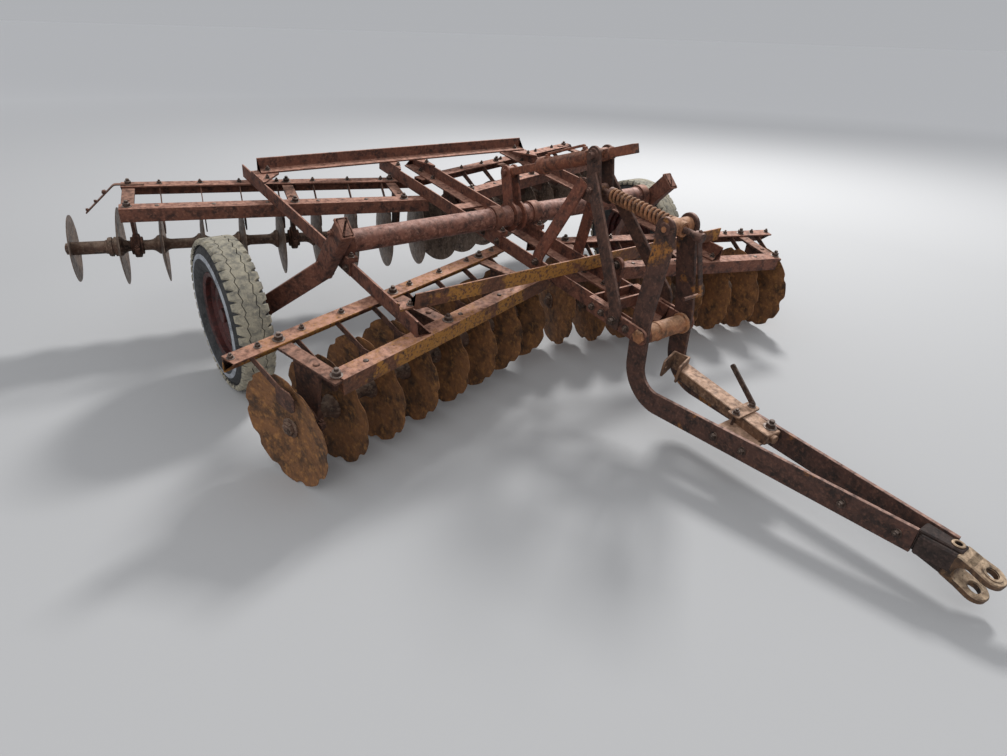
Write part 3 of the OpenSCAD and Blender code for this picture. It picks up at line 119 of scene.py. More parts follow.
def rounded(corners, steps=3):
    # corners are (x, y, radius), counterclockwise
    outline = []
    for i, (x, y, r) in enumerate(corners):
        here = Vector((x, y))
        back = Vector(corners[i - 1][:2]) - here
        on = Vector(corners[(i + 1) % len(corners)][:2]) - here
        if r <= 0:
            outline.append(here)
            continue
        half = back.angle(on) / 2
        reach = min(r / math.tan(half), back.length * 0.499, on.length * 0.499)
        start, end = here + back.normalized() * reach, here + on.normalized() * reach
        for k in range(steps + 1):
            t = k / steps
            outline.append(start * (1 - t) ** 2 + here * 2 * t * (1 - t) + end * t ** 2)
    return outline


def inset(outline, amount):
    result = []
    for i, p in enumerate(outline):
        before = (p - outline[i - 1]).normalized()
        after = (outline[(i + 1) % len(outline)] - p).normalized()
        inward = Vector((-before.y - after.y, before.x + after.x))
        if inward.length < 1e-6:
            inward = Vector((-before.y, before.x))
        inward.normalize()
        result.append(p + inward * amount / max(0.5, inward.dot(Vector((-before.y, before.x)))))
    return result


def belt(low, high, n):
    # quads between two rings of n points
    return [(low + i, low + (i + 1) % n, high + (i + 1) % n, high + i) for i in range(n)]


def bevelled(outline, thick, edge):
    # the four rings of a flat piece on the XY plane, its edges broken by a small bevel
    small = inset(outline, edge)
    rings = [(small, 0), (outline, edge), (outline, thick - edge), (small, thick)]
    return [Vector((p.x, p.y, z)) for ring, z in rings for p in ring]


def plate(outline, thick, edge=1.2):
    n = len(outline)
    faces = [tuple(reversed(range(n))), tuple(range(3 * n, 4 * n))]
    for k in range(3):
        faces += belt(k * n, (k + 1) * n, n)
    return bevelled(outline, thick, edge), faces


def drilled(outline, holes, thick, edge=1.2):
    # a plate with round holes, each (x, y, radius)
    loops = [outline] + [list(reversed(circle(x, y, r))) for x, y, r in holes]
    points, faces, tops, bottoms = [], [], [], []
    for loop in loops:
        start, n = len(points), len(loop)
        points += bevelled(loop, thick, edge)
        for k in range(3):
            faces += belt(start + k * n, start + (k + 1) * n, n)
        bottoms.append(range(start, start + n))
        tops.append(range(start + 3 * n, start + 4 * n))
    for rings in (bottoms, tops):
        flat = [i for ring in rings for i in ring]
        cuts = geometry.tessellate_polygon([[points[i] for i in ring] for ring in rings])
        faces += [tuple(flat[i] for i in cut) for cut in cuts]
    return points, faces


def lathe(profile, steps=32, loop=False):
    # profile is (radius, height) round Z
    points = []
    for r, z in profile:
        points += [Vector((r * math.cos(a), r * math.sin(a), z))
                   for a in (math.tau * i / steps for i in range(steps))]
    rings = len(profile)
    faces = []
    for k in range(rings if loop else rings - 1):
        faces += belt(k * steps, (k + 1) % rings * steps, steps)
    if not loop:
        faces += [tuple(reversed(range(steps))), tuple(range((rings - 1) * steps, rings * steps))]
    return points, faces


def sweep(stations, section, loop=False):
    # stations are (origin, a, b), section is (along a, along b)
    points, faces = [], []
    n = len(section)
    for origin, a, b in stations:
        points += [origin + a * x + b * y for x, y in section]
    rings = len(stations)
    for k in range(rings if loop else rings - 1):
        faces += belt(k * n, (k + 1) % rings * n, n)
    if not loop:
        faces += [tuple(reversed(range(n))), tuple(range((rings - 1) * n, rings * n))]
    return points, faces


def bent(corners, bend, steps=6):
    # a path whose inner corners are rounded
    path = [Vector(corners[0])]
    for before, here, after in zip(corners, corners[1:], corners[2:]):
        here = Vector(here)
        back, on = Vector(before) - here, Vector(after) - here
        reach = min(bend, back.length * 0.45, on.length * 0.45)
        start, end = here + back.normalized() * reach, here + on.normalized() * reach
        for k in range(steps + 1):
            t = k / steps
            path.append(start * (1 - t) ** 2 + here * 2 * t * (1 - t) + end * t ** 2)
    path.append(Vector(corners[-1]))
    return path


def directions(path):
    # the way a path runs at each of its points
    ends = [path[min(i + 1, len(path) - 1)] - path[max(i - 1, 0)] for i in range(len(path))]
    return [d.normalized() for d in ends]


def rod(corners, radius, bend=0, sides=12):
    path = bent(corners, bend) if bend else [Vector(c) for c in corners]
    ways = directions(path)
    side = ways[0].orthogonal().normalized()
    stations = []
    for point, way in zip(path, ways):
        side = (side - way * side.dot(way)).normalized()
        stations.append((point, side, way.cross(side)))
    return sweep(stations, circle(0, 0, radius, sides))


def flatBar(corners, wide, thick, face, bend=30, edge=2):
    # a flat bar along a path; face is the way its broad side looks
    path = bent(corners, bend) if len(corners) > 2 else [Vector(c) for c in corners]
    stations = []
    for point, way in zip(path, directions(path)):
        normal = (Vector(face) - way * way.dot(Vector(face))).normalized()
        stations.append((point, normal.cross(way), normal))
    return sweep(stations, block(wide, thick, edge, 2))


def tube(p, q, outer, inner, steps=40):
    length = (Vector(q) - Vector(p)).length
    shape = lathe([(inner, 0), (outer - 1, 0), (outer, 1), (outer, length - 1), (outer - 1, length),
                   (inner, length)], steps, loop=True)
    return moved(shape, pointing(p, Vector(q) - Vector(p)))


def stud(point, axis=(0, 0, 1), wide=24, stub=9, washer=True):
    # a nut on a thread end, standing on a face
    r = wide / 2 / math.cos(math.pi / 6)
    h = wide * 0.55
    base = 2.5 if washer else 0
    parts = [lathe([(r * 0.93, base), (r, base + 1), (r, base + h - 2), (r * 0.86, base + h)], 6)]
    if washer:
        parts.append(lathe([(wide * 0.78, 0), (wide * 0.78, 2), (wide * 0.7, 2.6)], 16))
    if stub:
        t = wide * 0.3
        parts.append(lathe([(t, base + h - 1), (t, base + h + stub - 2), (t * 0.7, base + h + stub)], 10))
    turn = Matrix.Rotation(random.uniform(0, math.pi), 4, "Z")
    return moved(joined(parts), pointing(point, axis) @ turn)


def domeHead(point, axis, wide=30):
    r = wide / 2
    profile = [(r, 0), (r * 0.93, r * 0.22), (r * 0.7, r * 0.42), (r * 0.3, r * 0.52)]
    return moved(lathe(profile, 16), pointing(point, axis))


def circle(x, y, r, steps=24, start=0, end=math.tau):
    # a whole circle, or an arc with both of its ends
    closed = abs(end - start - math.tau) < 1e-6
    count = steps if closed else steps + 1
    return [Vector((x + r * math.cos(start + (end - start) * i / steps),
                    y + r * math.sin(start + (end - start) * i / steps))) for i in range(count)]


def block(wide, tall, r, steps=3):
    # a rectangle round the origin with rounded corners
    w, t = wide / 2, tall / 2
    return rounded([(-w, -t, r), (w, -t, r), (w, t, r), (-w, t, r)], steps)


def standing(outline, x, thick, edge=1.2):
    # a plate whose outline is (y, z), from x on by its thickness
    return moved(plate(outline, thick, edge), axes((x, 0, 0), along, up))


def lying(outline, place, thick, edge=1.2):
    # a plate whose outline is (x, y), from its place up by its thickness
    return moved(plate(outline, thick, edge), Matrix.Translation(place))


def turned(profile, place, way, steps=32, loop=False):
    return moved(lathe(profile, steps, loop), pointing(place, way))


# Finishes
def colour(text):
    values = [int(text[i:i + 2], 16) / 255 for i in (0, 2, 4)]
    return tuple(v / 12.92 if v <= 0.04045 else ((v + 0.055) / 1.055) ** 2.4 for v in values) + (1.0,)


def weathered(name, look):
    material = bpy.data.materials.new(name)
    material.use_nodes = True
    tree = material.node_tree
    shader = tree.nodes["Principled BSDF"]
    place = tree.nodes.new("ShaderNodeTexCoord")

    def speckle(scale, low, high, detail=6.0):
        grain = tree.nodes.new("ShaderNodeTexNoise")
        grain.inputs["Scale"].default_value = scale
        grain.inputs["Detail"].default_value = detail
        grain.inputs["Roughness"].default_value = 0.62
        tree.links.new(place.outputs["Object"], grain.inputs["Vector"])
        spread = tree.nodes.new("ShaderNodeMapRange")
        spread.inputs["From Min"].default_value = low
        spread.inputs["From Max"].default_value = high
        tree.links.new(grain.outputs[0], spread.inputs["Value"])
        return spread.outputs["Result"]

    def layer(under, over, factor):
        blend = tree.nodes.new("ShaderNodeMix")
        blend.data_type = "RGBA"
        tree.links.new(factor, blend.inputs[0])
        for value, socket in ((under, blend.inputs[6]), (over, blend.inputs[7])):
            if isinstance(value, tuple):
                socket.default_value = value
            else:
                tree.links.new(value, socket)
        return blend.outputs[2]

    def times(value, factor):
        product = tree.nodes.new("ShaderNodeMath")
        product.operation = "MULTIPLY"
        tree.links.new(value, product.inputs[0])
        if isinstance(factor, float):
            product.inputs[1].default_value = factor
        else:
            tree.links.new(factor, product.inputs[1])
        return product.outputs[0]

    grain = look.get("grain", 1.0)
    coat = layer(colour(look["dark"]), colour(look["base"]), speckle(22 * grain, 0.36, 0.56))
    coat = layer(coat, colour(look["light"]), times(speckle(70 * grain, 0.5, 0.72), 0.8))
    if "paint" in look:
        patches = speckle(look.get("paintScale", 9.0), look["paintFrom"], look["paintFrom"] + 0.05, 8.0)
        chips = speckle(85.0, 0.4, 0.5)
        coat = layer(coat, colour(look["paint"]), times(patches, chips))
    # Upward faces are mixed toward a pale colour that is partly real dust and partly painted sunlight:
    # lighter tops against the darker sides.
    if "dustAndSun" in look:
        parts = tree.nodes.new("ShaderNodeSeparateXYZ")
        tree.links.new(place.outputs["Normal"], parts.inputs[0])
        lying = tree.nodes.new("ShaderNodeMapRange")
        lying.inputs["From Min"].default_value = 0.35
        lying.inputs["From Max"].default_value = 0.95
        lying.inputs["To Max"].default_value = look.get("dustAndSunShare", 0.75)
        tree.links.new(parts.outputs[2], lying.inputs["Value"])
        coat = layer(coat, colour(look["dustAndSun"]), times(lying.outputs["Result"], speckle(38.0, 0.3, 0.62)))
    pits = speckle(150 * grain, 0.62, 0.7, 3.0)
    coat = layer(coat, colour(look["dark"]), times(pits, 0.7))
    tree.links.new(coat, shader.inputs["Base Color"])

    sheen = tree.nodes.new("ShaderNodeMapRange")
    sheen.inputs["To Min"].default_value = look["rough"] - 0.12
    sheen.inputs["To Max"].default_value = look["rough"] + 0.1
    tree.links.new(speckle(45.0, 0.35, 0.65), sheen.inputs["Value"])
    tree.links.new(sheen.outputs["Result"], shader.inputs["Roughness"])
    shader.inputs["Metallic"].default_value = look.get("metallic", 0.15)
    relief = tree.nodes.new("ShaderNodeBump")
    relief.inputs["Strength"].default_value = look.get("relief", 0.45)
    relief.inputs["Distance"].default_value = 0.0015
    tree.links.new(speckle(130 * grain, 0.2, 0.8), relief.inputs["Height"])
    tree.links.new(relief.outputs["Normal"], shader.inputs["Normal"])
    return material


# Colours of each look, the dust and painted sunlight on its upper faces, old paint in patches, and how rough
# it is
looks = {
    "frame_rust": {
        "base": "6a4132", "dark": "35201a", "light": "8b5c48",
        "dustAndSun": "bd8d78", "dustAndSunShare": 0.9, "rough": 0.78,
    },
    "dark_rust": {
        "base": "4f3429", "dark": "271914", "light": "77503e",
        "dustAndSun": "b0846f", "dustAndSunShare": 0.85, "rough": 0.82,
    },
    "old_orange_paint": {
        "base": "5f3b29", "dark": "332119", "light": "85573c",
        "paint": "9a6a2e", "paintFrom": 0.47, "paintScale": 5.0,
        "dustAndSun": "c29079", "dustAndSunShare": 0.92, "rough": 0.72,
    },
    "drawbar_rust": {
        "base": "4b3128", "dark": "271a15", "light": "6d4a3b",
        "paint": "93602b", "paintFrom": 0.6, "paintScale": 5.0,
        "dustAndSun": "b89282", "dustAndSunShare": 0.9, "rough": 0.74,
    },
    "mastRust": {
        "base": "4d342a", "dark": "291c17", "light": "6f4c3d",
        "dustAndSun": "b08a7a", "dustAndSunShare": 0.9, "rough": 0.76,
    },
    "mastRedRust": {
        "base": "6b3d2d", "dark": "3a231b", "light": "8f5a43",
        "dustAndSun": "b98a76", "dustAndSunShare": 0.9, "rough": 0.76,
    },
    "cylinderRust": {
        "base": "74432f", "dark": "3e261c", "light": "a0684a",
        "dustAndSun": "c0917a", "dustAndSunShare": 0.9, "rough": 0.7,
    },
    "rust_on_tube": {"base": "7d5142", "dark": "422c26", "light": "a97b68", "dustAndSun": "c39a8c", "rough": 0.72},
    "notched_disc_rust": {
        "base": "7a5232", "dark": "402c1d", "light": "a97743",
        "rough": 0.8, "grain": 0.6, "relief": 0.6,
    },
    "plain_disc_steel": {
        "base": "6c5a4d", "dark": "3f332c", "light": "968273",
        "rough": 0.55, "metallic": 0.45,
    },
    "spool_iron": {"base": "5e4538", "dark": "33251e", "light": "8f7966", "dustAndSun": "b29a86", "rough": 0.78},
    "spring_rust": {"base": "905f40", "dark": "563a27", "light": "b48257", "dustAndSun": "cda281", "rough": 0.75},
    # The jaws' dark base is partly painted shade on their sides, and their pale upper faces are partly
    # painted sunlight.
    "hitch_iron": {
        "base": "59412f", "dark": "2b1f18", "light": "856546",
        "dustAndSun": "dcc0a0", "dustAndSunShare": 0.95, "rough": 0.6, "metallic": 0.3,
    },
    # The clevis casting's dark finish, with no pale tops, is painted shadow from the right drawbar arm over
    # its body.
    "castingPaintedShadow": {"base": "382a24", "dark": "1f1714", "light": "54403a", "rough": 0.65, "metallic": 0.3},
    "stand_steel": {
        "base": "74553f", "dark": "3b2b22", "light": "9b7a60",
        "dustAndSun": "d2ae94", "dustAndSunShare": 0.95, "rough": 0.75,
    },
    "rim_paint": {"base": "451a16", "dark": "230e0c", "light": "5f2c25", "rough": 0.6},
    "tyre_rubber": {
        "base": "333334", "dark": "1f1f20", "light": "4a4948",
        "rough": 0.85, "metallic": 0.0, "relief": 0.3,
    },
    "treadDust": {"base": "9c9584", "dark": "6c6961", "light": "b6ac94", "rough": 0.92, "metallic": 0.0},
    "whitewall": {
        "base": "9b9fa5", "dark": "70747a", "light": "b9bcc1",
        "rough": 0.7, "metallic": 0.0, "relief": 0.15,
    },
    "boltRust": {
        "base": "43332b", "dark": "241a16", "light": "6f5a4d",
        "dustAndSun": "a8968a", "dustAndSunShare": 0.75, "rough": 0.55, "metallic": 0.35,
    },
}
finishes = {name: weathered(name, look) for name, look in looks.items()}
for row in frame["record"]["subparts"]:
    mesh = nodes[row["node"]].data
    mesh.materials.clear()
    mesh.materials.append(finishes[row["material_slot"]])
print("finishes made")


def piece(name, parts, finish, body, stands=()):
    # one joined mesh that rides with a body, and stands for the CAD nodes it is drawn over
    points, faces = joined(parts)
    mesh = bpy.data.meshes.new(name)
    mesh.from_pydata([toGround @ Vector(p) for p in points], [], faces)
    work = bmesh.new()
    work.from_mesh(mesh)
    bmesh.ops.recalc_face_normals(work, faces=work.faces)
    work.to_mesh(mesh)
    work.free()
    mesh.materials.append(finishes[finish])
    mesh.shade_smooth()
    mesh.set_sharp_from_angle(angle=math.radians(32))
    obj = bpy.data.objects.new(name, mesh)
    bpy.context.scene.collection.objects.link(obj)
    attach(obj, body)
    if stands:
        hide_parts(*stands)
    return obj


def inGang(end, side, parts):
    # from a gang's own frame, X inwards along its shaft, to the machine's
    g = gangs[end]
    lay = Matrix.Translation((g["x"], g["y"], 0)) @ Matrix.Rotation(math.radians(g["sweep"]), 4, "Z")
    shapes = [moved(p, lay) for p in parts]
    return [mirrored(s) for s in shapes] if side == "right" else shapes


# Frame: rails, cross angles and gang beams are rolled angles
angle = {"heel": 1.5, "toe": 3.5, "root": 7, "thick": 9, "edge": 0.8}
rails = {
    "sideX": 941, "centreX": 124, "tall": 70, "wide": 67, "sideFront": -644, "sideLong": 1938,
    "centreFront": -990, "centreLong": 2205, "noseFront": -1110, "noseBack": -984,
}
crossAngles = {
    "wide": 68, "frontLeft": -899, "frontY": -559, "frontLong": 1898,
    "rearRight": 918, "rearY": 1147, "rearZ": 10, "rearLong": 1824,
    "torn": [
        (-961, -549, 3), (-835, -549, 0), (-835, -491, 0), (-948, -491, 6), (-939, -512, 4), (-953, -527, 5),
    ],
}
beam = {"tall": 68, "wide": 72}


def angleBar(origin, a, b, length, tall, wide):
    t, heel, toe = angle["thick"], angle["heel"], angle["toe"]
    outline = rounded([
        (0, 0, heel), (wide, 0, 1), (wide, t, toe), (t, t, angle["root"]), (t, tall, toe), (0, tall, 1),
    ])
    return moved(plate(outline, length, angle["edge"]), axes(origin, a, b))


def sideRail():
    r = rails
    start = (r["sideX"], r["sideFront"], -r["tall"])
    return [angleBar(start, -across, up, r["sideLong"], r["tall"], r["wide"])]


def centreRail():
    # the upright leg runs on to a round nose at the drawbar's pivot
    r = rails
    low, bend = -r["tall"], r["tall"] / 2 - 0.1
    front, back = r["noseFront"], r["noseBack"]
    nose = rounded([(front, low, bend), (back, low, 0), (back, 0, 0), (front, 0, bend)], 8)
    bar = angleBar((r["centreX"], r["centreFront"], low), -across, up, r["centreLong"], r["tall"], r["wide"])
    place = axes((r["centreX"] - angle["thick"], 0, 0), along, up)
    return [bar, moved(plate(nose, angle["thick"], angle["edge"]), place)]


def gangBeams(end):
    g = gangs[end]
    a, b = g["frontBeam"]
    c, d = g["rearBeam"]
    return [
        angleBar((b, -beamHalf, beamTop), along, -up, b - a, beam["tall"], beam["wide"]),
        angleBar((c, beamHalf, beamTop), -along, -up, d - c, beam["tall"], beam["wide"]),
    ]


def frontCrossAngle():
    # its left end is torn and bent flat
    c = crossAngles
    bar = angleBar((c["frontLeft"], c["frontY"], 0), along, up, c["frontLong"], c["wide"], c["wide"])
    return [bar, plate(rounded(c["torn"], 3), angle["thick"], angle["edge"])]


def rearCrossAngle():
    c = crossAngles
    origin = (c["rearRight"], c["rearY"], c["rearZ"])
    return [angleBar(origin, -along, up, c["rearLong"], c["wide"], c["wide"])]


piece("railRight", sideRail(), "frame_rust", "frame", ["right_side_rail"])
piece("railLeft", [mirrored(p) for p in sideRail()], "frame_rust", "frame", ["left_side_rail"])
piece("centreRailRight", centreRail(), "frame_rust", "frame", ["right_centre_rail"])
piece("centreRailLeft", [mirrored(p) for p in centreRail()], "frame_rust", "frame", ["left_centre_rail"])
piece("crossAngleFront", frontCrossAngle(), "old_orange_paint", "frame", ["front_cross_angle"])
piece("crossAngleRear", rearCrossAngle(), "frame_rust", "frame", ["rear_cross_angle"])
for end in gangs:
    for side in ("left", "right"):
        slotName = "old_orange_paint" if end == "front" else "frame_rust"
        finish = "frame_rust" if side == "right" else slotName
        beams = inGang(end, side, gangBeams(end))
        piece(f"{end}{side.title()}Beams", beams, finish, "frame", [f"{end}_{side}_beams"])
print("frame bars done")


# Gangs: dished discs worn at their edges, spools, hangers with their bearings, scrapers
disc = {
    "thick": 5, "dish": 950, "flat": 56, "bore": 19.3, "notches": 10, "notchDeep": 13.5, "notchHalf": 34,
    "around": 160, "worn": 1.6, "bevel": 0.9,
}
filler = {
    "place": -215, "radius": 170, "strapWide": 27, "strapThick": 5.6, "strapY": 152, "strapZ": -67,
    "strapStart": 160, "kneeX": 20, "tipX": -133, "tipZ": -215,
}


def sag(r):
    # how far the dish has risen at this radius
    dish, flat = disc["dish"], disc["flat"]
    return math.sqrt(dish ** 2 - flat ** 2) - math.sqrt(dish ** 2 - max(r, flat) ** 2)


def discEdge(radius, notches, seed):
    # radius round the disc: wear everywhere, and shallow uneven notches between wide lobes
    edge = []
    for i in range(disc["around"]):
        turn = i / disc["around"]
        a = math.tau * turn
        worn = disc["worn"] * (1 + noise.noise(Vector((3 * math.cos(a), 3 * math.sin(a), seed))))
        cut = 0
        if notches:
            nearest = math.floor(turn * notches)
            off = (turn * notches - nearest - 0.5) * math.tau / notches * radius
            uneven = noise.noise(Vector((nearest * 1.7, seed, 5)))
            half = disc["notchHalf"] * (1 + 0.5 * uneven)
            cut = disc["notchDeep"] * (1 + 0.6 * uneven) * max(0, 1 - (off / half) ** 2) ** 1.6
        edge.append(radius - worn - cut)
    return edge


def dishedDisc(u, radius, hollow, notches, seed):
    # X runs along the shaft, and hollow is the way the dish opens
    n = disc["around"]
    levels = [0, 0.12, 0.2, 0.38, 0.56, 0.72, 0.84, 0.93, 1.0]
    edge = discEdge(radius, notches, seed)
    points, faces = [], []
    for face in (0, 1):
        for level in levels:
            half = disc["thick"] / 2 - (disc["bevel"] if level == 1 else 0)
            for i in range(n):
                a = math.tau * i / n
                r = disc["bore"] + (edge[i] - disc["bore"]) * level
                lift = sag(r) + (half if face else -half)
                points.append(Vector((u + hollow * lift, r * math.sin(a), axleZ + r * math.cos(a))))
    rings = len(levels)
    for face in (0, 1):
        for k in range(rings - 1):
            low = (face * rings + k) * n
            quads = belt(low, low + n, n)
            faces += quads if face else [tuple(reversed(quad)) for quad in quads]
    for k in (0, rings - 1):
        faces += belt(k * n, (rings + k) * n, n)
    return points, faces


spool = {"end": 50, "waist": 27, "lip": 4, "round": 14, "bell": 52, "shaft": 18.8}


def onShaft(u):
    return axes((u, 0, axleZ), along, up)


def bellSide():
    # a round shoulder that runs out in a hollow curve to the waist
    s = spool
    shoulder, rise = s["end"] - s["round"], s["bell"] - s["lip"]
    hollow = ((s["waist"] - shoulder) ** 2 + rise ** 2 - s["round"] ** 2) / 2 / (s["end"] - s["waist"])
    meet = math.atan2(rise, s["waist"] + hollow - shoulder)
    side = [(s["end"] - 1, 0), (s["end"], 1)]
    for k in range(5):
        a = meet * k / 4
        side.append((shoulder + s["round"] * math.cos(a), s["lip"] + s["round"] * math.sin(a)))
    for k in range(1, 8):
        a = meet * (1 - k / 7)
        side.append((s["waist"] + hollow * (1 - math.cos(a)), s["bell"] - hollow * math.sin(a)))
    return side


def spoolShape(u0, u1):
    length, side = u1 - u0, bellSide()
    profile = side + [(r, length - z) for r, z in reversed(side)]
    return moved(lathe(profile, 36), onShaft(u0))


def shaftPart(u, length):
    return moved(lathe([(spool["shaft"], 0), (spool["shaft"], length)], 20), onShaft(u))


def shaftEnd(u, way):
    # washer, nut and the shaft's end
    place, way = (u, 0, axleZ), (way, 0, 0)
    return [
        turned([(38, 0), (40, 1), (40, 7), (38, 8)], place, way, 28),
        turned([(27, 8), (29, 9.5), (29, 21), (25, 23)], place, way, 6),
        turned([(18, 22), (18, 25), (15, 26)], place, way, 16),
    ]


def spoolRow(end):
    g = gangs[end]
    pitch, half = g["pitch"], disc["thick"] / 2
    parts = [spoolShape(i * pitch + half, (i + 1) * pitch - half) for i in range(g["count"] - 1)]
    parts += [shaftPart(i * pitch - half - 1, disc["thick"] + 2) for i in range(g["count"])]
    parts += shaftEnd((g["count"] - 1) * pitch + half, 1)
    if end == "front":
        return parts + shaftEnd(-half, -1)
    # a long sleeve holds the small furrow filler off the outermost full disc
    sleeve = [
        (31, 0), (33, 0), (33, 150), (36, 153), (36, 160), (46, 164), (50, 172), (50, 184), (44, 186),
        (44, 192), (50, 194), (50, 209.5), (48, 210),
    ]
    parts.append(moved(lathe(sleeve, 32), onShaft(filler["place"] + half)))
    parts.append(shaftPart(filler["place"] - 4, 8))
    return parts + shaftEnd(filler["place"] - half, -1)


hanger = {
    "place": 0.43, "strapWide": 60, "strapThick": 12, "plateThick": 16, "webTop": 75, "webFoot": 50,
    "footWide": 40, "footLong": 140, "footThick": 7, "bearing": 62, "bearingLong": 58, "earTall": 22,
}


def hangerShape(u):
    h, r, long = hanger, hanger["bearing"], hanger["bearingLong"] / 2
    top, wide, foot = underBeam, h["webTop"], h["webFoot"]
    strapZ = top - h["strapThick"]
    web = rounded([
        (-wide, top - 8, 8), (-foot, axleZ, 20), (foot, axleZ, 20), (wide, top - 8, 8),
        (wide - 5, top - 5, 0), (5 - wide, top - 5, 0),
    ])
    shell = [(28, long), (44, long), (46, long - 3), (46, long - 10), (r - 3, long - 13), (r, long - 17)]
    housing = [(a, -z) for a, z in shell] + shell[::-1]
    parts = [
        lying(block(h["strapWide"], 2 * strapReach, 6), (u, 0, strapZ), h["strapThick"], 1.5),
        standing(web, u - h["plateThick"] / 2, h["plateThick"], 1.5),
        lying(block(h["footWide"], h["footLong"], 5), (u, 0, strapZ - 6.5), h["footThick"], 2),
        moved(lathe(housing, 40, loop=True), onShaft(u)),
    ]
    rise = h["earTall"] / 2
    for n in (-1, 1):
        parts += [
            lying(block(24, 32, 4), (u, n * (r + 1), axleZ - rise), h["earTall"], 2),
            stud((u, n * (r + 3), axleZ + rise), up, 17, 5),
            stud((u, n * (r + 3), axleZ - rise), -up, 17, 0),
        ]
    parts.append(domeHead((u, -52, top), up, 26))
    return parts


scraper = {
    "gap": 8, "thick": 6, "armWide": 28, "hold": 45, "tip": 10, "bladeLong": 100, "bladeTall": 86, "sink": 30,
    "tabHalf": 18, "tabLong": 42, "tabThick": 5,
}


def scraperRow(end):
    g = gangs[end]
    return range(g["firstScraper"], g["count"] - (end == "rear"))


def scraperPlace(end, i):
    g = gangs[end]
    clear = disc["thick"] / 2 + scraper["gap"] + scraper["thick"] / 2
    return i * g["pitch"] + g["hollow"] * (sag(g["radius"]) + clear)


def scraperBolt(end, i):
    return i * gangs[end]["pitch"] - 2 if end == "front" else scraperPlace(end, i)


def scraperShape(end, i):
    g, s = gangs[end], scraper
    u, t = scraperPlace(end, i), s["thick"]
    back, top, bladeTop = strapReach, underBeam - 0.5, axleZ + g["radius"] - s["sink"]
    arm = rounded([
        (-s["tip"], bladeTop - s["armWide"], 4), (back, top - s["armWide"] / 2, 3), (back, top, 0),
        (back - s["hold"], top, 6), (-s["tip"], bladeTop, 6),
    ])
    a, low = s["armWide"] - s["tip"], bladeTop - s["bladeTall"]
    b = a - s["bladeLong"]
    blade = rounded([
        (b, low + 16, 14), (b + 20, low, 10), (a, low + 8, 10), (a, bladeTop - 1, 8),
        (b + 26, bladeTop - 1, 12), (b, bladeTop - 22, 10),
    ])
    seat = scraperBolt(end, i) - u
    left, right, front = min(0, seat) - s["tabHalf"], max(0, seat) + s["tabHalf"], back - s["tabLong"]
    tab = rounded([(left, front, 4), (right, front, 4), (right, back, 4), (left, back, 4)])
    parts = [
        standing(arm, u - t / 2 + 0.5, t - 1, 1),
        standing(blade, u - t / 2, t),
        lying(tab, (u, 0, top - s["tabThick"]), s["tabThick"], 1),
    ]
    for n in (-2, -24):
        parts.append(domeHead((u - g["hollow"] * t / 2, n, bladeTop - 18), (-g["hollow"], 0, 0), 15))
    return parts


def fillerScraper():
    # a bent strap that slants down to the furrow filler
    f = filler
    knee, low = Vector((f["kneeX"], f["strapY"], f["strapZ"])), Vector((f["tipX"], f["strapY"], f["tipZ"]))
    start = (f["strapStart"], f["strapY"], f["strapZ"])
    strap = flatBar([start, knee, low], f["strapWide"], f["strapThick"], up, 12, 1)
    slope = (low - knee).normalized()
    outward = Vector((slope.z, 0, -slope.x))
    face = outward * f["strapThick"] / 2
    heads = ((0.3, 22), (0.62, 15), (0.92, 15))
    return [strap] + [stud(knee.lerp(low, t) + face, outward, wide, 4, False) for t, wide in heads]


for end, g in gangs.items():
    notches = disc["notches"] if end == "front" else 0
    discFinish = "notched_disc_rust" if end == "front" else "plain_disc_steel"
    for side in ("left", "right"):
        seed = {"front": 3.1, "rear": 17.7}[end] + (5.3 if side == "right" else 0)
        name, key = f"{end}{side.title()}", f"{end}_{side}"
        discs = [dishedDisc(i * g["pitch"], g["radius"], g["hollow"], notches, seed + i)
                 for i in range(g["count"])]
        hangers = [p for slot in g["slots"] for p in hangerShape((slot + hanger["place"]) * g["pitch"])]
        scrapers = [p for i in scraperRow(end) for p in scraperShape(end, i)]
        if end == "rear":
            discs.append(dishedDisc(filler["place"], filler["radius"], g["hollow"], 0, seed - 1))
            scrapers += fillerScraper()
        rows = (
            ("Discs", discs, discFinish, key + "_gang"),
            ("Spools", spoolRow(end), "spool_iron", key + "_gang"),
            ("Hangers", hangers, "dark_rust", "frame"),
            ("Scrapers", scrapers, "dark_rust", "frame"),
        )
        for part, shapes, finish, body in rows:
            piece(name + part, inGang(end, side, shapes), finish, body, [f"{key}_{part.lower()}"])
print("gangs done")


# Bolts: big pairs at the hangers, a small one at each scraper, round heads between, and the frame's own
beamBolt = {
    "line": 38, "big": 30, "small": 19, "head": 22, "headStart": 220, "headStep": 262, "headStop": 150,
}
frameBolt = {
    "railY": (-612, -470, 930, 1080), "bearingSideY": (-62, 62), "bearingFootY": (-76, 76),
    "bearingFootZ": 24.5, "crossX": (905, 150), "crossY": -528,
    "rear": ((900, 1010, 10), (860, 1113, 19), (100, 1020, 10)),
    "legs": ((167, -930, -32), (138, -374, -10)), "cheekX": 153, "cheekY": (-1000, -850, -790),
    "earY": -800, "earZ": 148,
}


def beamBolts(end):
    g, b = gangs[end], beamBolt
    line = beamHalf - b["line"]
    parts = []
    for slot in g["slots"]:
        u = (slot + hanger["place"]) * g["pitch"]
        parts += [stud((u, n, beamTop), up, b["big"], 12) for n in (-line, line)]
    smallAt = [scraperBolt(end, i) for i in scraperRow(end)]
    if end == "front":
        smallAt.append(g["rearBeam"][0] + 15)
    parts += [stud((u, line + 6, beamTop), up, b["small"], 8) for u in smallAt]
    for u in range(b["headStart"], g["frontBeam"][1] - b["headStop"], b["headStep"]):
        parts.append(domeHead((u, -line, beamTop - 0.4), up, b["head"]))
    return parts


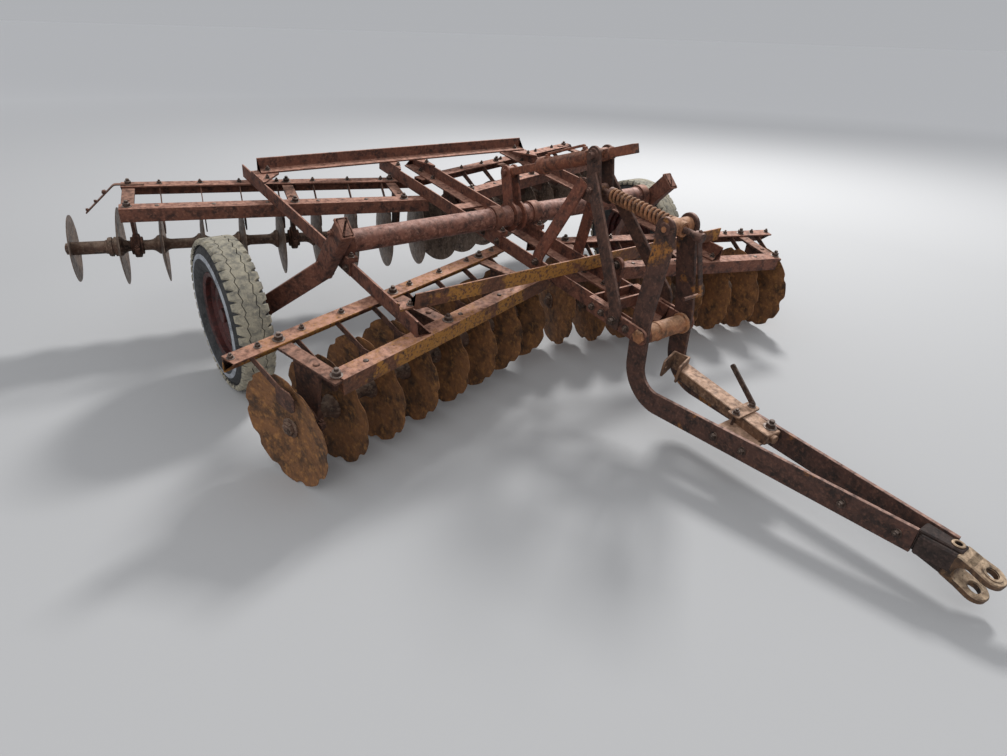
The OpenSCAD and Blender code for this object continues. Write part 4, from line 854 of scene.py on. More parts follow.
def frameBolts():
    b = frameBolt
    parts = []
    for x in (rails["sideX"], rails["centreX"]):
        parts += [stud((x - 30, y, -61), up, 20, 7) for y in b["railY"]]
        parts += [stud((x + 10, y, -32), across, 22, 6) for y in b["bearingSideY"]]
        parts += [stud((x - 4.5, y, b["bearingFootZ"]), up, 19, 8) for y in b["bearingFootY"]]
    parts += [stud(place, up, 20, 8) for place in b["rear"]]
    parts += [stud((x, b["crossY"], 9), up, 20, 8) for x in b["crossX"]]
    parts += [stud(place, across, 26, 6) for place in b["legs"]]
    parts += [stud((b["cheekX"], y, -36), across, 22, 6) for y in b["cheekY"]]
    return bothSides(parts)


bolts = frameBolts()
for end in gangs:
    for side in ("left", "right"):
        bolts += inGang(end, side, beamBolts(end))
earY, earZ = frameBolt["earY"], frameBolt["earZ"]
bolts += [stud((-64, earY, earZ), -across, 26, 6), domeHead((-50, earY, earZ), across, 30)]
piece("frameBolts", bolts, "boltRust", "frame")
print("bolts done")


# Rockshaft, its lever, and the wheel arms
rockshaft = {"z": 61, "radius": 50.5, "wall": 8, "half": 973, "weld": 5, "weldX": (905, 967, 88, 151, 37)}
lever = {"x": 20, "y": 70, "z": 262, "thick": 12, "collar": 76.5, "tip": 36}
arm = {
    "slope": 52, "offset": 35, "tail": 183, "elbow": 162, "deep": 90, "wide": 52, "lap": 13, "capLip": 4,
    "capThick": 12, "endX": 1205, "hubY": 319.16, "hubZ": -362.13,
}


def weldRing(x):
    r, w = rockshaft["radius"], rockshaft["weld"]
    bead = [(r - 2, -w), (r + 3, -w * 0.4), (r + 4, 0), (r + 3, w * 0.4), (r - 2, w)]
    return moved(lathe(bead, 36), axes((x, 0, rockshaft["z"]), along, up))


rings = bothSides([weldRing(x) for x in rockshaft["weldX"]])
shaftEnds = [Vector((way * rockshaft["half"], 0, rockshaft["z"])) for way in (-1, 1)]
shaftTube = tube(*shaftEnds, rockshaft["radius"], rockshaft["radius"] - rockshaft["wall"], 56)
piece("rockshaftTube", [shaftTube] + rings, "rust_on_tube", "rockshaft", ["rockshaft_tube"])


def leverShape():
    # a plate round the shaft and out to the lift pin, with that pin's outer end and split pin
    x, y, z = lever["x"], lever["y"], lever["z"]
    rise = z - rockshaft["z"]
    reach, lean = math.hypot(y, rise), math.atan2(rise, y)
    collar = circle(0, 0, lever["collar"], 30, lean + 0.48, lean + math.tau - 0.48)
    tip = circle(reach * math.cos(lean), reach * math.sin(lean), lever["tip"], 14, lean - 1.5, lean + 1.5)
    face = x + lever["thick"]
    return [
        moved(plate(collar + tip, lever["thick"], 1.5), axes((x, 0, rockshaft["z"]), along, up)),
        turned([(17, 0), (17, 13), (14, 16)], (face, y, z), across, 24),
        rod([(face + 12, y, z - 24), (face + 12, y, z + 24)], 2.5),
    ]


levers = bothSides(leverShape())
piece("rockshaftLever", levers, "mastRedRust", "rockshaft", ["rockshaft_lever"])


def wheelArm():
    # the upper box comes down past the shaft's end, and the lower one turns outwards at the elbow
    a = arm
    w, d = a["wide"], a["deep"]
    box = block(w, d, 8, 4)
    slope = Matrix.Rotation(math.radians(-a["slope"]), 4, "X")
    lay = Matrix.Translation((rockshaft["half"] + w / 2, 0, rockshaft["z"])) @ slope
    tail, elbow = Vector((0, -a["tail"], -a["offset"])), Vector((0, a["elbow"], -a["offset"]))
    upper = sweep([(tail, across, up), (elbow + along * a["lap"], across, up)], box)
    lip = block(w + 2 * a["capLip"], d + 2 * a["capLip"], 6)
    cap = lay @ axes(tail, across, up)
    knee, hub = lay @ elbow, Vector((a["endX"], a["hubY"], a["hubZ"]))
    way = (hub - knee).normalized()
    level = Vector((way.y, -way.x, 0)).normalized()
    ends = (knee - way * a["lap"], hub + way * a["lap"])
    spindle = [(40, -26), (44, -24), (44, 12), (41, 16), (30, 18), (30, 70), (34, 72), (34, 80)]
    return [
        moved(upper, lay),
        moved(plate(lip, a["capThick"], 2), cap),
        moved(plate(inset(lip, 11), 4, 1.5), cap @ Matrix.Translation((0, 0, a["capThick"]))),
        sweep([(point, level, level.cross(way)) for point in ends], box),
        turned(spindle, hub, across),
        stud((rockshaft["half"] + w, -83, 149), across, 24, 6),
    ]


piece("wheelArmRight", wheelArm(), "frame_rust", "rockshaft", ["right_wheel_arm"])
piece("wheelArmLeft", [mirrored(p) for p in wheelArm()], "frame_rust", "rockshaft", ["left_wheel_arm"])
print("rockshaft and arms done")


# Wheels, drawn round Z with the machine's outside upwards
wheel = {
    "x": 1355, "radius": 358, "tread": 150, "wide": 172, "belly": 265, "pitches": 44, "grooveDeep": 8,
    "groove": 4, "ribLow": 23, "ribHigh": 33, "wedge": 22, "skew": 0.9, "nuts": 5, "nutCircle": 74,
}


def tyreCasing():
    side, half = wheel["wide"] / 2 - 0.5, wheel["tread"] / 2
    base = wheel["radius"] - wheel["grooveDeep"]
    outer = [(191, 52), (205.5, 52), (207, 60)]
    for k in range(9):
        a = math.radians(134 - 11.5 * k)
        outer.append((wheel["belly"] + side * math.cos(a), side * math.sin(a)))
    outer += [(base - 16, half - 2), (base - 5, half - 10), (base, half - 24)]
    profile = outer + [(r, -z) for r, z in reversed(outer)]
    inner = [
        (base - 14, -half + 26), (base - 30, -half + 8), (wheel["belly"], -side + 13), (220, -52), (191, -38),
    ]
    inner += [(r, -z) for r, z in reversed(inner)]
    return lathe(profile + inner, 120, loop=True)


def treadShape():
    # a smooth zig-zag rib in the middle, and shoulders that open in wedges at the tyre's edge
    w = wheel
    top, base, step = w["radius"] - 0.4, w["radius"] - w["grooveDeep"] - 3, math.tau / w["pitches"]

    def zigzag(t):
        t %= 1
        return w["ribLow"] + (w["ribHigh"] - w["ribLow"]) * (t / 0.7 if t < 0.7 else (1 - t) / 0.3)

    def rib(t):
        low, high = -zigzag(t), zigzag(t + 0.5)
        return [(base, low, 0), (top, low, 0), (top, high, 0), (base, high, 0)]

    def shoulder(t, way):
        inner = zigzag(t) + w["groove"]
        cut = w["wedge"] * max(0, 1 - abs(t - 0.85) / 0.16)
        ring = [
            (base, inner), (top, inner), (top, 58 - 0.5 * cut), (top - 3, 68 - 0.9 * cut),
            (top - 15, 77 - cut), (base - 17, 71 - 0.6 * cut),
        ]
        return [(r, way * z, w["skew"] * (z - inner) / w["tread"]) for r, z in ring]

    def band(phases, section, shift=0.0):
        rings = [(i + t + shift, section(t)) for i in range(w["pitches"]) for t in phases]
        points = [Vector((r * math.cos(step * (at + lean)), r * math.sin(step * (at + lean)), z))
                  for at, ring in rings for r, z, lean in ring]
        n, count = len(rings[0][1]), len(rings)
        return points, [quad for k in range(count) for quad in belt(k * n, (k + 1) % count * n, n)]

    wedges = (0, 0.25, 0.5, 0.69, 0.77, 0.85, 0.93)
    return [
        band((0, 0.2, 0.5, 0.7), rib),
        band(wedges, lambda t: shoulder(t, -1)),
        band(wedges, lambda t: shoulder(t, 1), -0.5),
    ]


def rimShape():
    side = [
        (183, 52), (184, 59), (204, 65), (206, 63), (205, 59.5), (191, 56), (189.6, 52), (189.6, 38),
        (176, 26),
    ]
    well = [(183, 36), (169, 22), (169, -22), (183, -36)]
    section = [(r, -z) for r, z in side] + side[::-1] + well
    dish = [
        (50, 6), (96, 6), (112, 20), (138, 22), (152, 8), (170, 2), (170, 10), (156, 16), (142, 29),
        (110, 28), (92, 14), (50, 14),
    ]
    hub = [
        (31, -71), (50, -71), (52, -69), (52, -8), (46, 2), (46, 17), (40, 20), (34, 22), (34, 44),
        (31, 47.5), (1, 48),
    ]
    parts = [lathe(section, 96, loop=True), lathe(dish, 96, loop=True), lathe(hub, 40)]
    for p in circle(0, 0, wheel["nutCircle"], wheel["nuts"]):
        parts.append(stud((p.x, p.y, 13.5), up, 19, 6, False))
    parts.append(rod([(178, 0, 12), (186, 0, 40)], 4))
    return parts


def whitewallRing():
    ring = [(269, 84.6), (270.5, 86.4), (279, 85.9), (290, 83), (291.5, 80.6), (280, 83.2)]
    return lathe(ring, 120, loop=True)


for side, flip in (("left", -1), ("right", 1)):
    place = pointing((flip * wheel["x"], arm["hubY"], arm["hubZ"]), (flip, 0, 0))
    body = side + "_wheel"
    piece(side + "Tyre", [moved(tyreCasing(), place)], "tyre_rubber", body, [side + "_tyre"])
    piece(side + "Tread", [moved(p, place) for p in treadShape()], "treadDust", body)
    piece(side + "Whitewall", [moved(whitewallRing(), place)], "whitewall", body)
    piece(side + "Rim", [moved(p, place) for p in rimShape()], "rim_paint", body, [side + "_rim"])
print("wheels done")


# Mast: head plates with their pins, front and rear legs
mast = {
    "pinY": -524, "pinZ": 525, "screwY": -562, "screwZ": 390, "headX": 32, "headThick": 12, "crown": 40,
    "legWide": 64, "legThick": 14, "kneeZ": 20, "footZ": -62,
}


def mastHead():
    # a plate on each side, and between them the pins of the lift cylinder and the levelling screw
    m = mast
    y, z, face = m["pinY"], m["pinZ"], m["headX"] + m["headThick"]
    low = rounded([(-602, 390, 0), (-602, 330, 8), (-474, 330, 8), (-456, 368, 20), (-476, 430, 60)], 4)
    outline = circle(y, z, m["crown"], 14, 0, math.pi) + low
    return bothSides([
        standing(outline, m["headX"], m["headThick"], 1.5),
        turned([(30, 0), (28, 5), (18, 6)], (face, y, z), across, 28),
        rod([(face + 20, y, z - 21), (face + 20, y, z + 21)], 2.5),
        stud((face + m["legThick"], m["screwY"], m["screwZ"]), across, 26, 6),
    ]) + [
        turned([(15.5, -70), (16, -67), (16, 67), (15.5, 70)], (0, y, z), across, 24),
        turned([(12, -60), (12, 60)], (0, m["screwY"], m["screwZ"]), across, 20),
    ]


def mastLegs(topY, topZ, footY, footX):
    # from the head plates down to the centre rails, with the feet bent upright
    m = mast
    mid = m["legThick"] / 2
    start = Vector((m["headX"] + m["headThick"] + mid, topY, topZ))
    knee, foot = (Vector((footX + mid, footY, z)) for z in (m["kneeZ"], m["footZ"]))
    way = (knee - start).normalized()
    return bothSides([flatBar([start - way * 30, knee, foot], m["legWide"], m["legThick"], across, 26, 3)])


frontLegs, rearLegs = mastLegs(-557, 422, -930, 153), mastLegs(-492, 380, -374, 124)
piece("mastHead", mastHead(), "mastRust", "frame", ["mast_head"])
piece("mastFrontLegs", frontLegs, "mastRust", "frame", ["mast_front_legs"])
piece("mastRearLegs", rearLegs, "mastRedRust", "frame", ["mast_rear_legs"])
print("mast done")


# Lift cylinder, drawn along its own line from the mast's pin
lift = {
    "slope": -23.88, "length": 649.6, "barrel": 33, "gland": 42, "rod": 36, "rodStart": 205, "rodLong": 418,
    "bar": 38, "barStart": -200, "barLong": 168, "portY": (92, 345), "portZ": 31,
}
lineTurn = Matrix.Rotation(math.radians(lift["slope"]), 4, "X")
liftLine = Matrix.Translation((0, mast["pinY"], mast["pinZ"])) @ lineTurn


def liftBarrel():
    b, g = lift["barrel"], lift["gland"]
    barrel = [
        (26, 56), (b, 58), (b, 150), (b + 0.6, 152), (b + 0.6, 160), (b, 162), (b, 352), (g - 6, 356),
        (g - 1, 360), (g, 364), (g, 396), (g - 2, 400), (26, 402),
    ]
    lug = rounded([(-30, -30, 29), (64, -26, 6), (64, 26, 6), (-30, 30, 29)], 6)
    bar = plate(block(lift["bar"], lift["bar"], 3, 2), lift["barLong"], 1.5)
    parts = [
        turned(barrel, (0, 0, 0), along, 40),
        standing(lug, -31, 62, 2),
        moved(bar, pointing((0, lift["barStart"], 0), along)),
        turned([(22, -6), (25, -4), (25, 4), (22, 6)], (0, -66, 0), along, 24),
        rod([(0, 92, 40), (0, 92, 52), (0, 130, 52), (0, 340, 48)], 6, 10),
    ]
    for port, steps in (([(12, 0), (12, 14), (8, 16)], 16), ([(18, 0), (18, 4), (15, 5)], 20)):
        parts += [turned(port, (0, y, lift["portZ"]), up, steps) for y in lift["portY"]]
    return [moved(p, liftLine) for p in parts]


def liftRod():
    square = plate(block(lift["rod"], lift["rod"], 4), lift["rodLong"], 2)
    eye = [(15.2, -19.5), (28.5, -19.5), (30, -18), (30, 18), (28.5, 19.5), (15.2, 19.5)]
    parts = [
        moved(square, pointing((0, lift["rodStart"], 0), along)),
        turned(eye, (0, lift["length"], 0), across, 32, True),
    ]
    return [moved(p, liftLine) for p in parts]


piece("liftBarrel", liftBarrel(), "cylinderRust", "cylinder_barrel", ["lift_barrel"])
piece("liftRod", liftRod(), "cylinderRust", "cylinder_rod", ["lift_rod"])
# the lift pin rides in the rod's eye, between the lever plates
liftPin = [(13.5, -19.4), (14.5, -18.4), (14.5, 18.4), (13.5, 19.4)]
liftPin = turned(liftPin, (0, lever["y"], lever["z"]), across, 24)
piece("liftPin", [liftPin], "boltRust", "cylinder_rod")
print("lift cylinder done")


# Drawbar: gooseneck arms and their bolts, the pivot pin with its cheeks, and the clevis
drawbar = {
    "wide": 94, "thick": 16, "bend": 135, "bendY": -1212, "bendZ": -145, "slant": 7.54, "rise": 5.55,
    "armIn": 124.5, "topHalf": 62, "endY": -2330, "endZ": -172, "endHalf": 25, "taper": 1105,
    "topY": -1005, "topZ": 390, "leftShort": 92, "boltY": (-1513, -1634, -2010, -2190),
}
pivot = {
    "y": -1075, "z": -33, "cheekBack": -760, "cheekX": 141, "cheekThick": 12, "packFront": -930, "pack": 17.2,
}


def armHalf(y):
    # how far an arm's inner face is from the middle
    d = drawbar
    return d["endHalf"] + (y - d["endY"]) * (d["armIn"] - d["endHalf"]) / d["taper"]


def drawbarArm(short):
    d = drawbar
    slant, rise = math.radians(d["slant"]), math.radians(d["rise"])
    mid, half = d["thick"] / 2, d["wide"] / 2
    stations = []
    acrossNeck = Vector((0, math.cos(slant), -math.sin(slant)))
    neck = ((d["topZ"], d["topHalf"]), (330, d["topHalf"]), (316, d["topHalf"] + 1.5), (60, 118), (34, 123.5),
            (20, d["armIn"]))
    for z, x in neck:
        y = d["topY"] - (d["topZ"] - z) * math.tan(slant)
        stations.append((Vector((x + mid, y, z)), across, acrossNeck))
    for k in range(15):
        a = -slant - k / 14 * (math.pi / 2 - slant + rise)
        out = Vector((0, math.cos(a), math.sin(a)))
        stations.append((Vector((d["armIn"] + mid, d["bendY"], d["bendZ"])) + out * d["bend"], across, out))
    acrossTongue = Vector((0, -math.sin(rise), -math.cos(rise)))
    start = stations[-1][0]
    end = Vector((d["endHalf"] + mid, d["endY"], d["endZ"]))
    end += (start - end).normalized() * short
    for t in (0.03, 0.35, 0.7, 1.0):
        stations.append((start.lerp(end, t), across, acrossTongue))
    crown = circle(d["topY"], d["topZ"], half, 20, -slant, math.pi - slant)
    face = d["topHalf"] + d["thick"]
    return [
        sweep(stations, block(d["thick"], d["wide"], 3)),
        standing(crown, d["topHalf"], d["thick"], 2.5),
        turned([(27, -2), (27, 3), (24, 5)], (face, d["topY"], d["topZ"]), across, 28),
        turned([(17, -6), (17, 1), (15, 1.5)], (face - 0.5, d["topY"] - 4, d["topZ"] - 62), across, 24),
    ]


def drawbarBolts():
    parts = []
    for y in drawbar["boltY"]:
        tilt = (y - drawbar["endY"]) * math.tan(math.radians(drawbar["rise"]))
        place = (armHalf(y) + drawbar["thick"], y, drawbar["endZ"] - tilt)
        parts.append(stud(place, (1, 0.09, 0), 22, 5))
    return bothSides(parts)


def pivotShape():
    spacer = [
        (37, -114.6), (38, -113), (38, -60), (41, -58), (41, -50), (38, -48), (38, 96), (44, 98), (46, 103),
        (46, 110), (40, 114.6),
    ]
    place, head = (0, pivot["y"], pivot["z"]), [(27, 153), (30, 155), (30, 162), (26, 166)]
    return [
        turned(spacer, place, across, 40),
        turned([(19, -167), (20, -165), (20, 165), (19, 167)], place, across, 28),
        turned(head, place, across, 6),
        turned(head, place, -across, 6),
    ]


def pivotCheeks():
    # plates outside the centre rails' noses, with packing between
    p = pivot
    low, bend, front, back = -rails["tall"], rails["tall"] / 2 - 0.1, rails["noseFront"], p["cheekBack"]
    cheek = rounded([(front, low, bend), (back, low, 6), (back, 0, 6), (front, 0, bend)], 8)
    packing = rounded([(p["packFront"], low, 2), (back, low, 2), (back, 0, 2), (p["packFront"], 0, 2)], 2)
    return bothSides([
        standing(cheek, p["cheekX"], p["cheekThick"], 1.5),
        standing(packing, rails["centreX"], p["pack"], 1),
    ])


leftArm = [mirrored(p) for p in drawbarArm(drawbar["leftShort"])]
piece("drawbarArmRight", drawbarArm(0), "drawbar_rust", "drawbar", ["right_drawbar_arm"])
piece("drawbarArmLeft", leftArm, "drawbar_rust", "drawbar", ["left_drawbar_arm"])
piece("drawbarBolts", drawbarBolts(), "boltRust", "drawbar")
piece("pivotPin", pivotShape(), "spring_rust", "frame", ["pivot_pin"])
piece("pivotCheeks", pivotCheeks(), "frame_rust", "frame", ["pivot_cheeks"])

# The clevis is laid out from the tongue's end, its jaws round the hitch pin
clevis = {
    "reach": 105, "drop": 39, "droop": 15, "nose": 46, "hole": 20.5, "gap": 54, "jaw": 24, "half": 41,
    "throat": 70, "block": 96, "top": 40, "low": 46, "back": 95, "bossX": 4, "bossY": -9, "bossHole": 11,
}
turnDown = Matrix.Rotation(math.radians(-drawbar["rise"]), 4, "X")
tongueEnd = Matrix.Translation((0, drawbar["endY"], drawbar["endZ"])) @ turnDown


def clevisBody():
    # the casting between the arms, filled out on the left where the arm stops short, with a belly under it
    c = clevis
    tall = c["top"] + c["low"]
    between = rounded([
        (-24.3, -35, 6), (24.3, -35, 6), (24.5, 0, 0), (32.7, c["back"], 10), (-32.7, c["back"], 10),
        (-24.5, 0, 0),
    ])
    core = drilled(between, [(c["bossX"], c["bossY"], c["bossHole"])], tall, 4)
    side = rounded([(-c["half"], -32, 10), (-20, -32, 0), (-28, 86, 0), (-48, 84, 4)])
    belly = rounded([(-6, -62, 4), (84, -45, 4), (84, -36, 0), (-6, -36, 0)])
    parts = [
        moved(core, Matrix.Translation((0, 0, -c["low"]))),
        lying(side, (0, 0, 2 - c["low"]), tall - 10, 6),
        standing(belly, -c["half"], c["half"] + 25, 4),
    ]
    return [moved(p, tongueEnd) for p in parts]


def clevisJaws():
    # two jaws and the block that joins them round a hollow throat, drawn round the hitch pin
    c = clevis
    hole, half, reach = c["hole"], c["gap"] / 2, c["throat"]
    side, shoulder, high = c["half"] - 0.5, reach - half, half + c["jaw"]
    outline = circle(0, 0, c["nose"], 24, math.pi, math.tau)
    outline += [Vector(p) for p in ((side, shoulder), (side, reach), (-side, reach), (-side, shoulder))]
    jaw = drilled(outline, [(0, 0, hole)], c["jaw"], 4)
    throat = circle(shoulder, 0, half, 16, math.pi / 2, -math.pi / 2)
    deep = c["block"]
    back = rounded([(deep, -high, 10), (deep, high, 12), (shoulder, high, 0), (shoulder, -high, 0)])
    back = back[:-1] + throat + back[-1:]
    ring = lathe([(hole, 0), (hole + 12, 0), (hole + 10, 4), (hole + 3, 4.5), (hole, 3)], 32, loop=True)
    boss = lathe([(11, 0), (21, 0), (20, 6), (17, 8), (13, 8), (11, 6)], 24, loop=True)
    parts = [moved(jaw, Matrix.Translation((0, 0, z))) for z in (half, -high)]
    parts.append(standing(back, -c["half"], 2 * c["half"], 5))
    parts.append(moved(ring, Matrix.Translation((0, 0, high - 1))))
    droop = Matrix.Rotation(math.radians(c["droop"]), 4, "X")
    lay = tongueEnd @ Matrix.Translation((0, -c["reach"], -c["drop"])) @ droop
    bossPlace = tongueEnd @ Matrix.Translation((c["bossX"], c["bossY"], c["top"] - 3))
    return [moved(p, lay) for p in parts] + [moved(boss, bossPlace)]


piece("hitchJaws", clevisJaws(), "hitch_iron", "drawbar", ["hitch_clevis"])
# the casting takes a dark finish without pale tops, as painted shadow cast by the right arm
piece("hitchBody", clevisBody(), "castingPaintedShadow", "drawbar")
print("drawbar done")


# Levelling screw with its spring, crank and the trunnion between the arms
screw = {
    "rearY": -562, "z": 390, "rod": 13, "threadDeep": 1.4, "threadStart": 395, "threadEnd": 520, "spring": 31,
    "wire": 6.5, "coils": 15, "springStart": 76, "springLong": 334, "reach": 530, "throw": 300, "swing": 25,
    "grip": 105,
}
springRear = Vector((0, screw["rearY"] - screw["springStart"], screw["z"]))


def springShape():
    s = screw
    r, wire, count = s["spring"] - s["wire"], s["wire"], s["coils"] * 20
    path = []
    for i in range(count + 1):
        t = i / count
        a = math.tau * s["coils"] * t
        run = wire + min(1, max(0, (t - 0.03) / 0.94)) * (s["springLong"] - 2 * wire)
        path.append(springRear + Vector((r * math.cos(a), -run, r * math.sin(a))))
    stations = []
    for point, way in zip(path, directions(path)):
        out = Vector((point.x, 0, point.z - s["z"])).normalized()
        stations.append((point, out, way.cross(out)))
    return [sweep(stations, circle(0, 0, wire, 8))]


def levellingRod():
    s = screw
    r, place = s["rod"], (0, s["rearY"], s["z"])
    profile = [(r - 0.5, 10), (r, 12), (r, 56), (29, 60), (30, 62), (30, 72), (28, 75.5), (r, 76)]
    profile.append((r, s["threadStart"]))
    for z in range(s["threadStart"], s["threadEnd"], 6):
        profile += [(r, z + 1.5), (r - s["threadDeep"], z + 3.5), (r, z + 5.5)]
    profile.append((r - 1, s["reach"]))
    eye = [(12.4, -31), (22, -31), (24, -28), (24, 28), (22, 31), (12.4, 31)]
    return [turned(profile, place, -along, 24), turned(eye, place, across, 28, True)]


def crankShape():
    centre = Vector((0, screw["rearY"] - screw["reach"] - 20, screw["z"]))
    swing = math.radians(screw["swing"])
    way = Vector((math.sin(swing), 0, -math.cos(swing)))
    elbow = centre + way * screw["throw"]
    return [
        turned([(13, -20), (19, -18), (20, -15), (20, 15), (19, 18), (14, 20)], centre, along, 28),
        flatBar([centre + way * 8, elbow + way * 9], 24, 8, along, edge=2.5),
        rod([elbow, elbow - across * screw["grip"]], 8, 0, 16),
        stud(centre + up * 19, up, 13, 2, False),
    ]


def trunnionShape():
    place = (0, drawbar["topY"], drawbar["topZ"])
    sleeve = [(21, -36), (30, -35), (31, -33), (31, 33), (30, 35), (21, 36)]
    return [
        turned([(31, -61.5), (33, -59), (33, 59), (31, 61.5)], place, across, 36),
        turned([(11.8, -86), (11.8, 86)], place, across, 20),
        turned(sleeve, place, along, 28, True),
    ]


spring = piece("levellingSpring", springShape(), "spring_rust", "levelling_screw", ["levelling_spring"])
spring.data.shade_smooth()
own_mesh(spring)
piece("levellingRod", levellingRod(), "drawbar_rust", "levelling_screw", ["levelling_rod"])
piece("levellingCrank", crankShape(), "drawbar_rust", "levelling_screw", ["levelling_crank"])
piece("springTrunnion", trunnionShape(), "spring_rust", "drawbar", ["spring_trunnion"])
print("levelling screw done")


# Stowed stand with its channel foot, and the clamp that holds it
stand = {
    "wide": 78, "tall": 46, "gap": 14, "top": -188, "frontY": -1668, "yaw": 5.14, "stub": 18, "stubLong": 14,
    "footX": 116, "footY": -1167, "footTurn": 18, "footLong": 115, "footWide": 76, "footTall": 84,
    "footTop": -156, "footHole": 10, "thick": 9, "clampY": -1512, "clampWide": 55, "plateBack": 27,
    "plateFront": 138, "leverBack": 134, "leverUp": 99, "boltX": 53, "boltY": -1629,
}


def standShape():
    s = stand
    wide, high, t = s["footWide"], s["footTall"], s["thick"]
    corner = Vector((armHalf(s["frontY"]) - s["gap"], s["frontY"], s["top"] - s["tall"]))
    lay = Matrix.Translation(corner) @ Matrix.Rotation(math.radians(-s["yaw"]), 4, "Z")
    footCorner = Vector((s["footX"], s["footY"], s["footTop"] - high))
    foot = Matrix.Translation(footCorner) @ Matrix.Rotation(math.radians(s["footTurn"]), 4, "Z")
    toFoot = foot.inverted() @ lay

    def reach(x):
        # how far the bar runs before it meets the foot's slanting flange
        start = toFoot @ Vector((x, 0, 0))
        return (t / 2 - start.y) / ((toFoot @ Vector((x, 1, 0))).y - start.y)

    bar = rounded([(-s["wide"], 0, 4), (0, 0, 4), (0, reach(0), 0), (-s["wide"], reach(-s["wide"]), 0)])
    stub = lathe([(s["stub"], 0), (s["stub"], s["stubLong"] - 2), (s["stub"] - 2, s["stubLong"])], 24)
    flange = rounded([(-s["footLong"], 0, 16), (0, 0, 6), (0, high, 6), (-s["footLong"], high, 16)])
    flange = drilled(flange, [(-0.7 * s["footLong"], high / 2, s["footHole"])], t, 1.5)
    web = rounded([(1, 0, 0), (wide - 1, 0, 0), (wide - 1, high, 0), (1, high, 0)])
    parts = [moved(plate(bar, s["tall"], 3), lay)]
    parts.append(moved(stub, lay @ pointing((-s["wide"] / 2, 0, s["tall"] / 2), -along)))
    parts += [moved(flange, foot @ axes((0, y, 0), across, up)) for y in (t, wide)]
    parts.append(moved(plate(web, t, 1.5), foot @ axes((-t, 0, 0), along, up)))
    return parts


def clampShape():
    # a tie plate between the arms under the stand's bar, and a strap over the bar
    s = stand
    y0, y1 = s["clampY"] - s["plateFront"], s["clampY"] + s["plateBack"]
    a, b = armHalf(y0) - 0.6, armHalf(y1) - 0.6
    right = armHalf(s["clampY"]) - s["gap"] + 28
    left, half = right - s["wide"] - 64, s["clampWide"] / 2
    front, back = s["clampY"] - half, s["clampY"] + half
    tie = rounded([(-a, y0, 3), (a, y0, 3), (b, y1, 3), (-b, y1, 3)])
    strap = rounded([(left, front, 8), (right, front, 8), (right, back, 8), (left, back, 8)])
    return [
        lying(tie, (0, 0, s["top"] - s["tall"] - s["thick"]), s["thick"]),
        lying(strap, (0, 0, s["top"]), s["thick"], 1.5),
    ]


def clampBolts():
    # the two clamp bolts, the lever on the right one, and the big bolt in the bar
    s = stand
    y, low, high = s["clampY"], s["top"] - s["tall"] - 12, s["top"] + s["thick"]
    right = armHalf(y) - s["gap"]
    boltX = right + s["gap"] / 2
    parts = []
    for x in (right - s["wide"] - 18, boltX):
        parts += [rod([(x, y, low), (x, y, high + 14)], 5.8), stud((x, y, high), up, 22, 8)]
    way = Vector((0, s["leverBack"], s["leverUp"]))
    end = way.length + 8
    handle = rounded([(-12, -12, 11), (end, -12, 8), (end, 12, 8), (-12, 12, 11)])
    way.normalize()
    place = Vector((boltX - 4, y, high + 12))
    parts.append(moved(plate(handle, 8, 1.5), axes(place, way, across.cross(way))))
    parts.append(stud((s["boltX"], s["boltY"], s["top"]), up, 34, 12))
    return parts


piece("stowedStand", standShape(), "stand_steel", "drawbar", ["stowed_stand"])
piece("standClamp", clampShape(), "stand_steel", "drawbar", ["stand_clamp"])
piece("clampBolts", clampBolts(), "boltRust", "drawbar")
print("stand done")


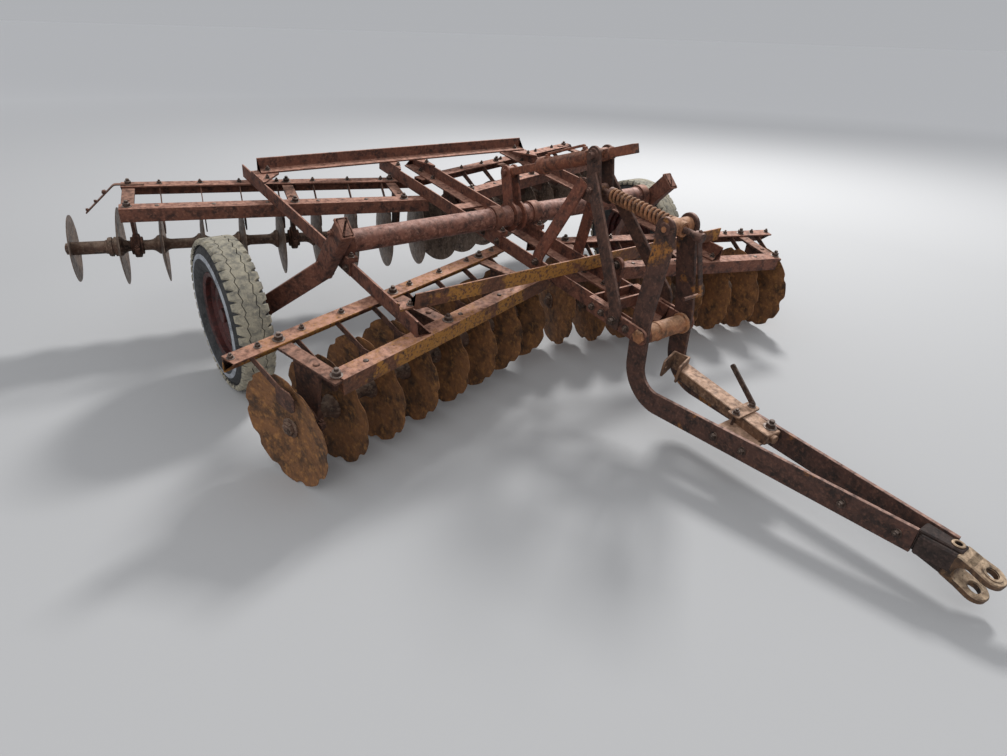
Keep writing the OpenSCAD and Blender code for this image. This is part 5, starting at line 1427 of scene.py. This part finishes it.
# Floor, light and camera
studio = {"floorHalf": 400, "near": 0.48, "far": 0.78, "fadeFrom": 4, "fadeTo": 16, "light": 0.62}
half = studio["floorHalf"]
corners = [(-half, -half, 0), (half, -half, 0), (half, half, 0), (-half, half, 0)]
ground = bpy.data.meshes.new("studioFloor")
ground.from_pydata(corners, [], [(0, 1, 2, 3)])
floor = bpy.data.objects.new("studioFloor", ground)
bpy.context.scene.collection.objects.link(floor)
floorFinish = bpy.data.materials.new("paleFloor")
floorFinish.use_nodes = True
tree = floorFinish.node_tree
spot = tree.nodes.new("ShaderNodeTexCoord")
away = tree.nodes.new("ShaderNodeVectorMath")
away.operation = "LENGTH"
tree.links.new(spot.outputs["Object"], away.inputs[0])
fade = tree.nodes.new("ShaderNodeMapRange")
fadeRange = {"From Min": "fadeFrom", "From Max": "fadeTo", "To Min": "near", "To Max": "far"}
for socket, value in fadeRange.items():
    fade.inputs[socket].default_value = studio[value]
tree.links.new(away.outputs["Value"], fade.inputs["Value"])
tree.links.new(fade.outputs["Result"], tree.nodes["Principled BSDF"].inputs["Base Color"])
tree.nodes["Principled BSDF"].inputs["Roughness"].default_value = 0.95
ground.materials.append(floorFinish)

lights = {
    "key": {"place": (5.5, 3.5, 6.5), "size": 1.6, "power": 640},
    "fill": {"place": (-6, -5, 5), "size": 6, "power": 200},
}
for name, light in lights.items():
    lamp = bpy.data.lights.new(name, "AREA")
    lamp.size = light["size"]
    lamp.energy = light["power"]
    lampObject = bpy.data.objects.new(name, lamp)
    lampObject.location = light["place"]
    lampObject.rotation_mode = "QUATERNION"
    lampObject.rotation_quaternion = (Vector((0, 0, 0.4)) - Vector(light["place"])).to_track_quat("-Z", "Y")
    bpy.context.scene.collection.objects.link(lampObject)
world = bpy.data.worlds.new("studio")
world.use_nodes = True
tree = world.node_tree
sight = tree.nodes.new("ShaderNodeLightPath")
shown = tree.nodes.new("ShaderNodeMix")
shown.data_type = "RGBA"
sky = (0.88, 0.9, 0.94)
shown.inputs[6].default_value = (*sky, 1)
shown.inputs[7].default_value = (*(studio["far"] * c for c in sky), 1)
tree.links.new(sight.outputs["Is Camera Ray"], shown.inputs[0])
tree.links.new(shown.outputs[2], tree.nodes["Background"].inputs["Color"])
tree.nodes["Background"].inputs["Strength"].default_value = studio["light"]
bpy.context.scene.world = world

photoView = {"lens": 23.804, "place": (-2.10933, -2.198694, 1.561839), "turn": (62.5388, -1.592, -36.9294)}
cameraData = bpy.data.cameras.new("photoView")
cameraData.lens = photoView["lens"]
cameraData.sensor_width = 36
camera = bpy.data.objects.new("photoView", cameraData)
camera.location = photoView["place"]
camera.rotation_euler = [math.radians(a) for a in photoView["turn"]]
bpy.context.scene.collection.objects.link(camera)
bpy.context.scene.camera = camera
bpy.context.scene.view_settings.view_transform = "Standard"
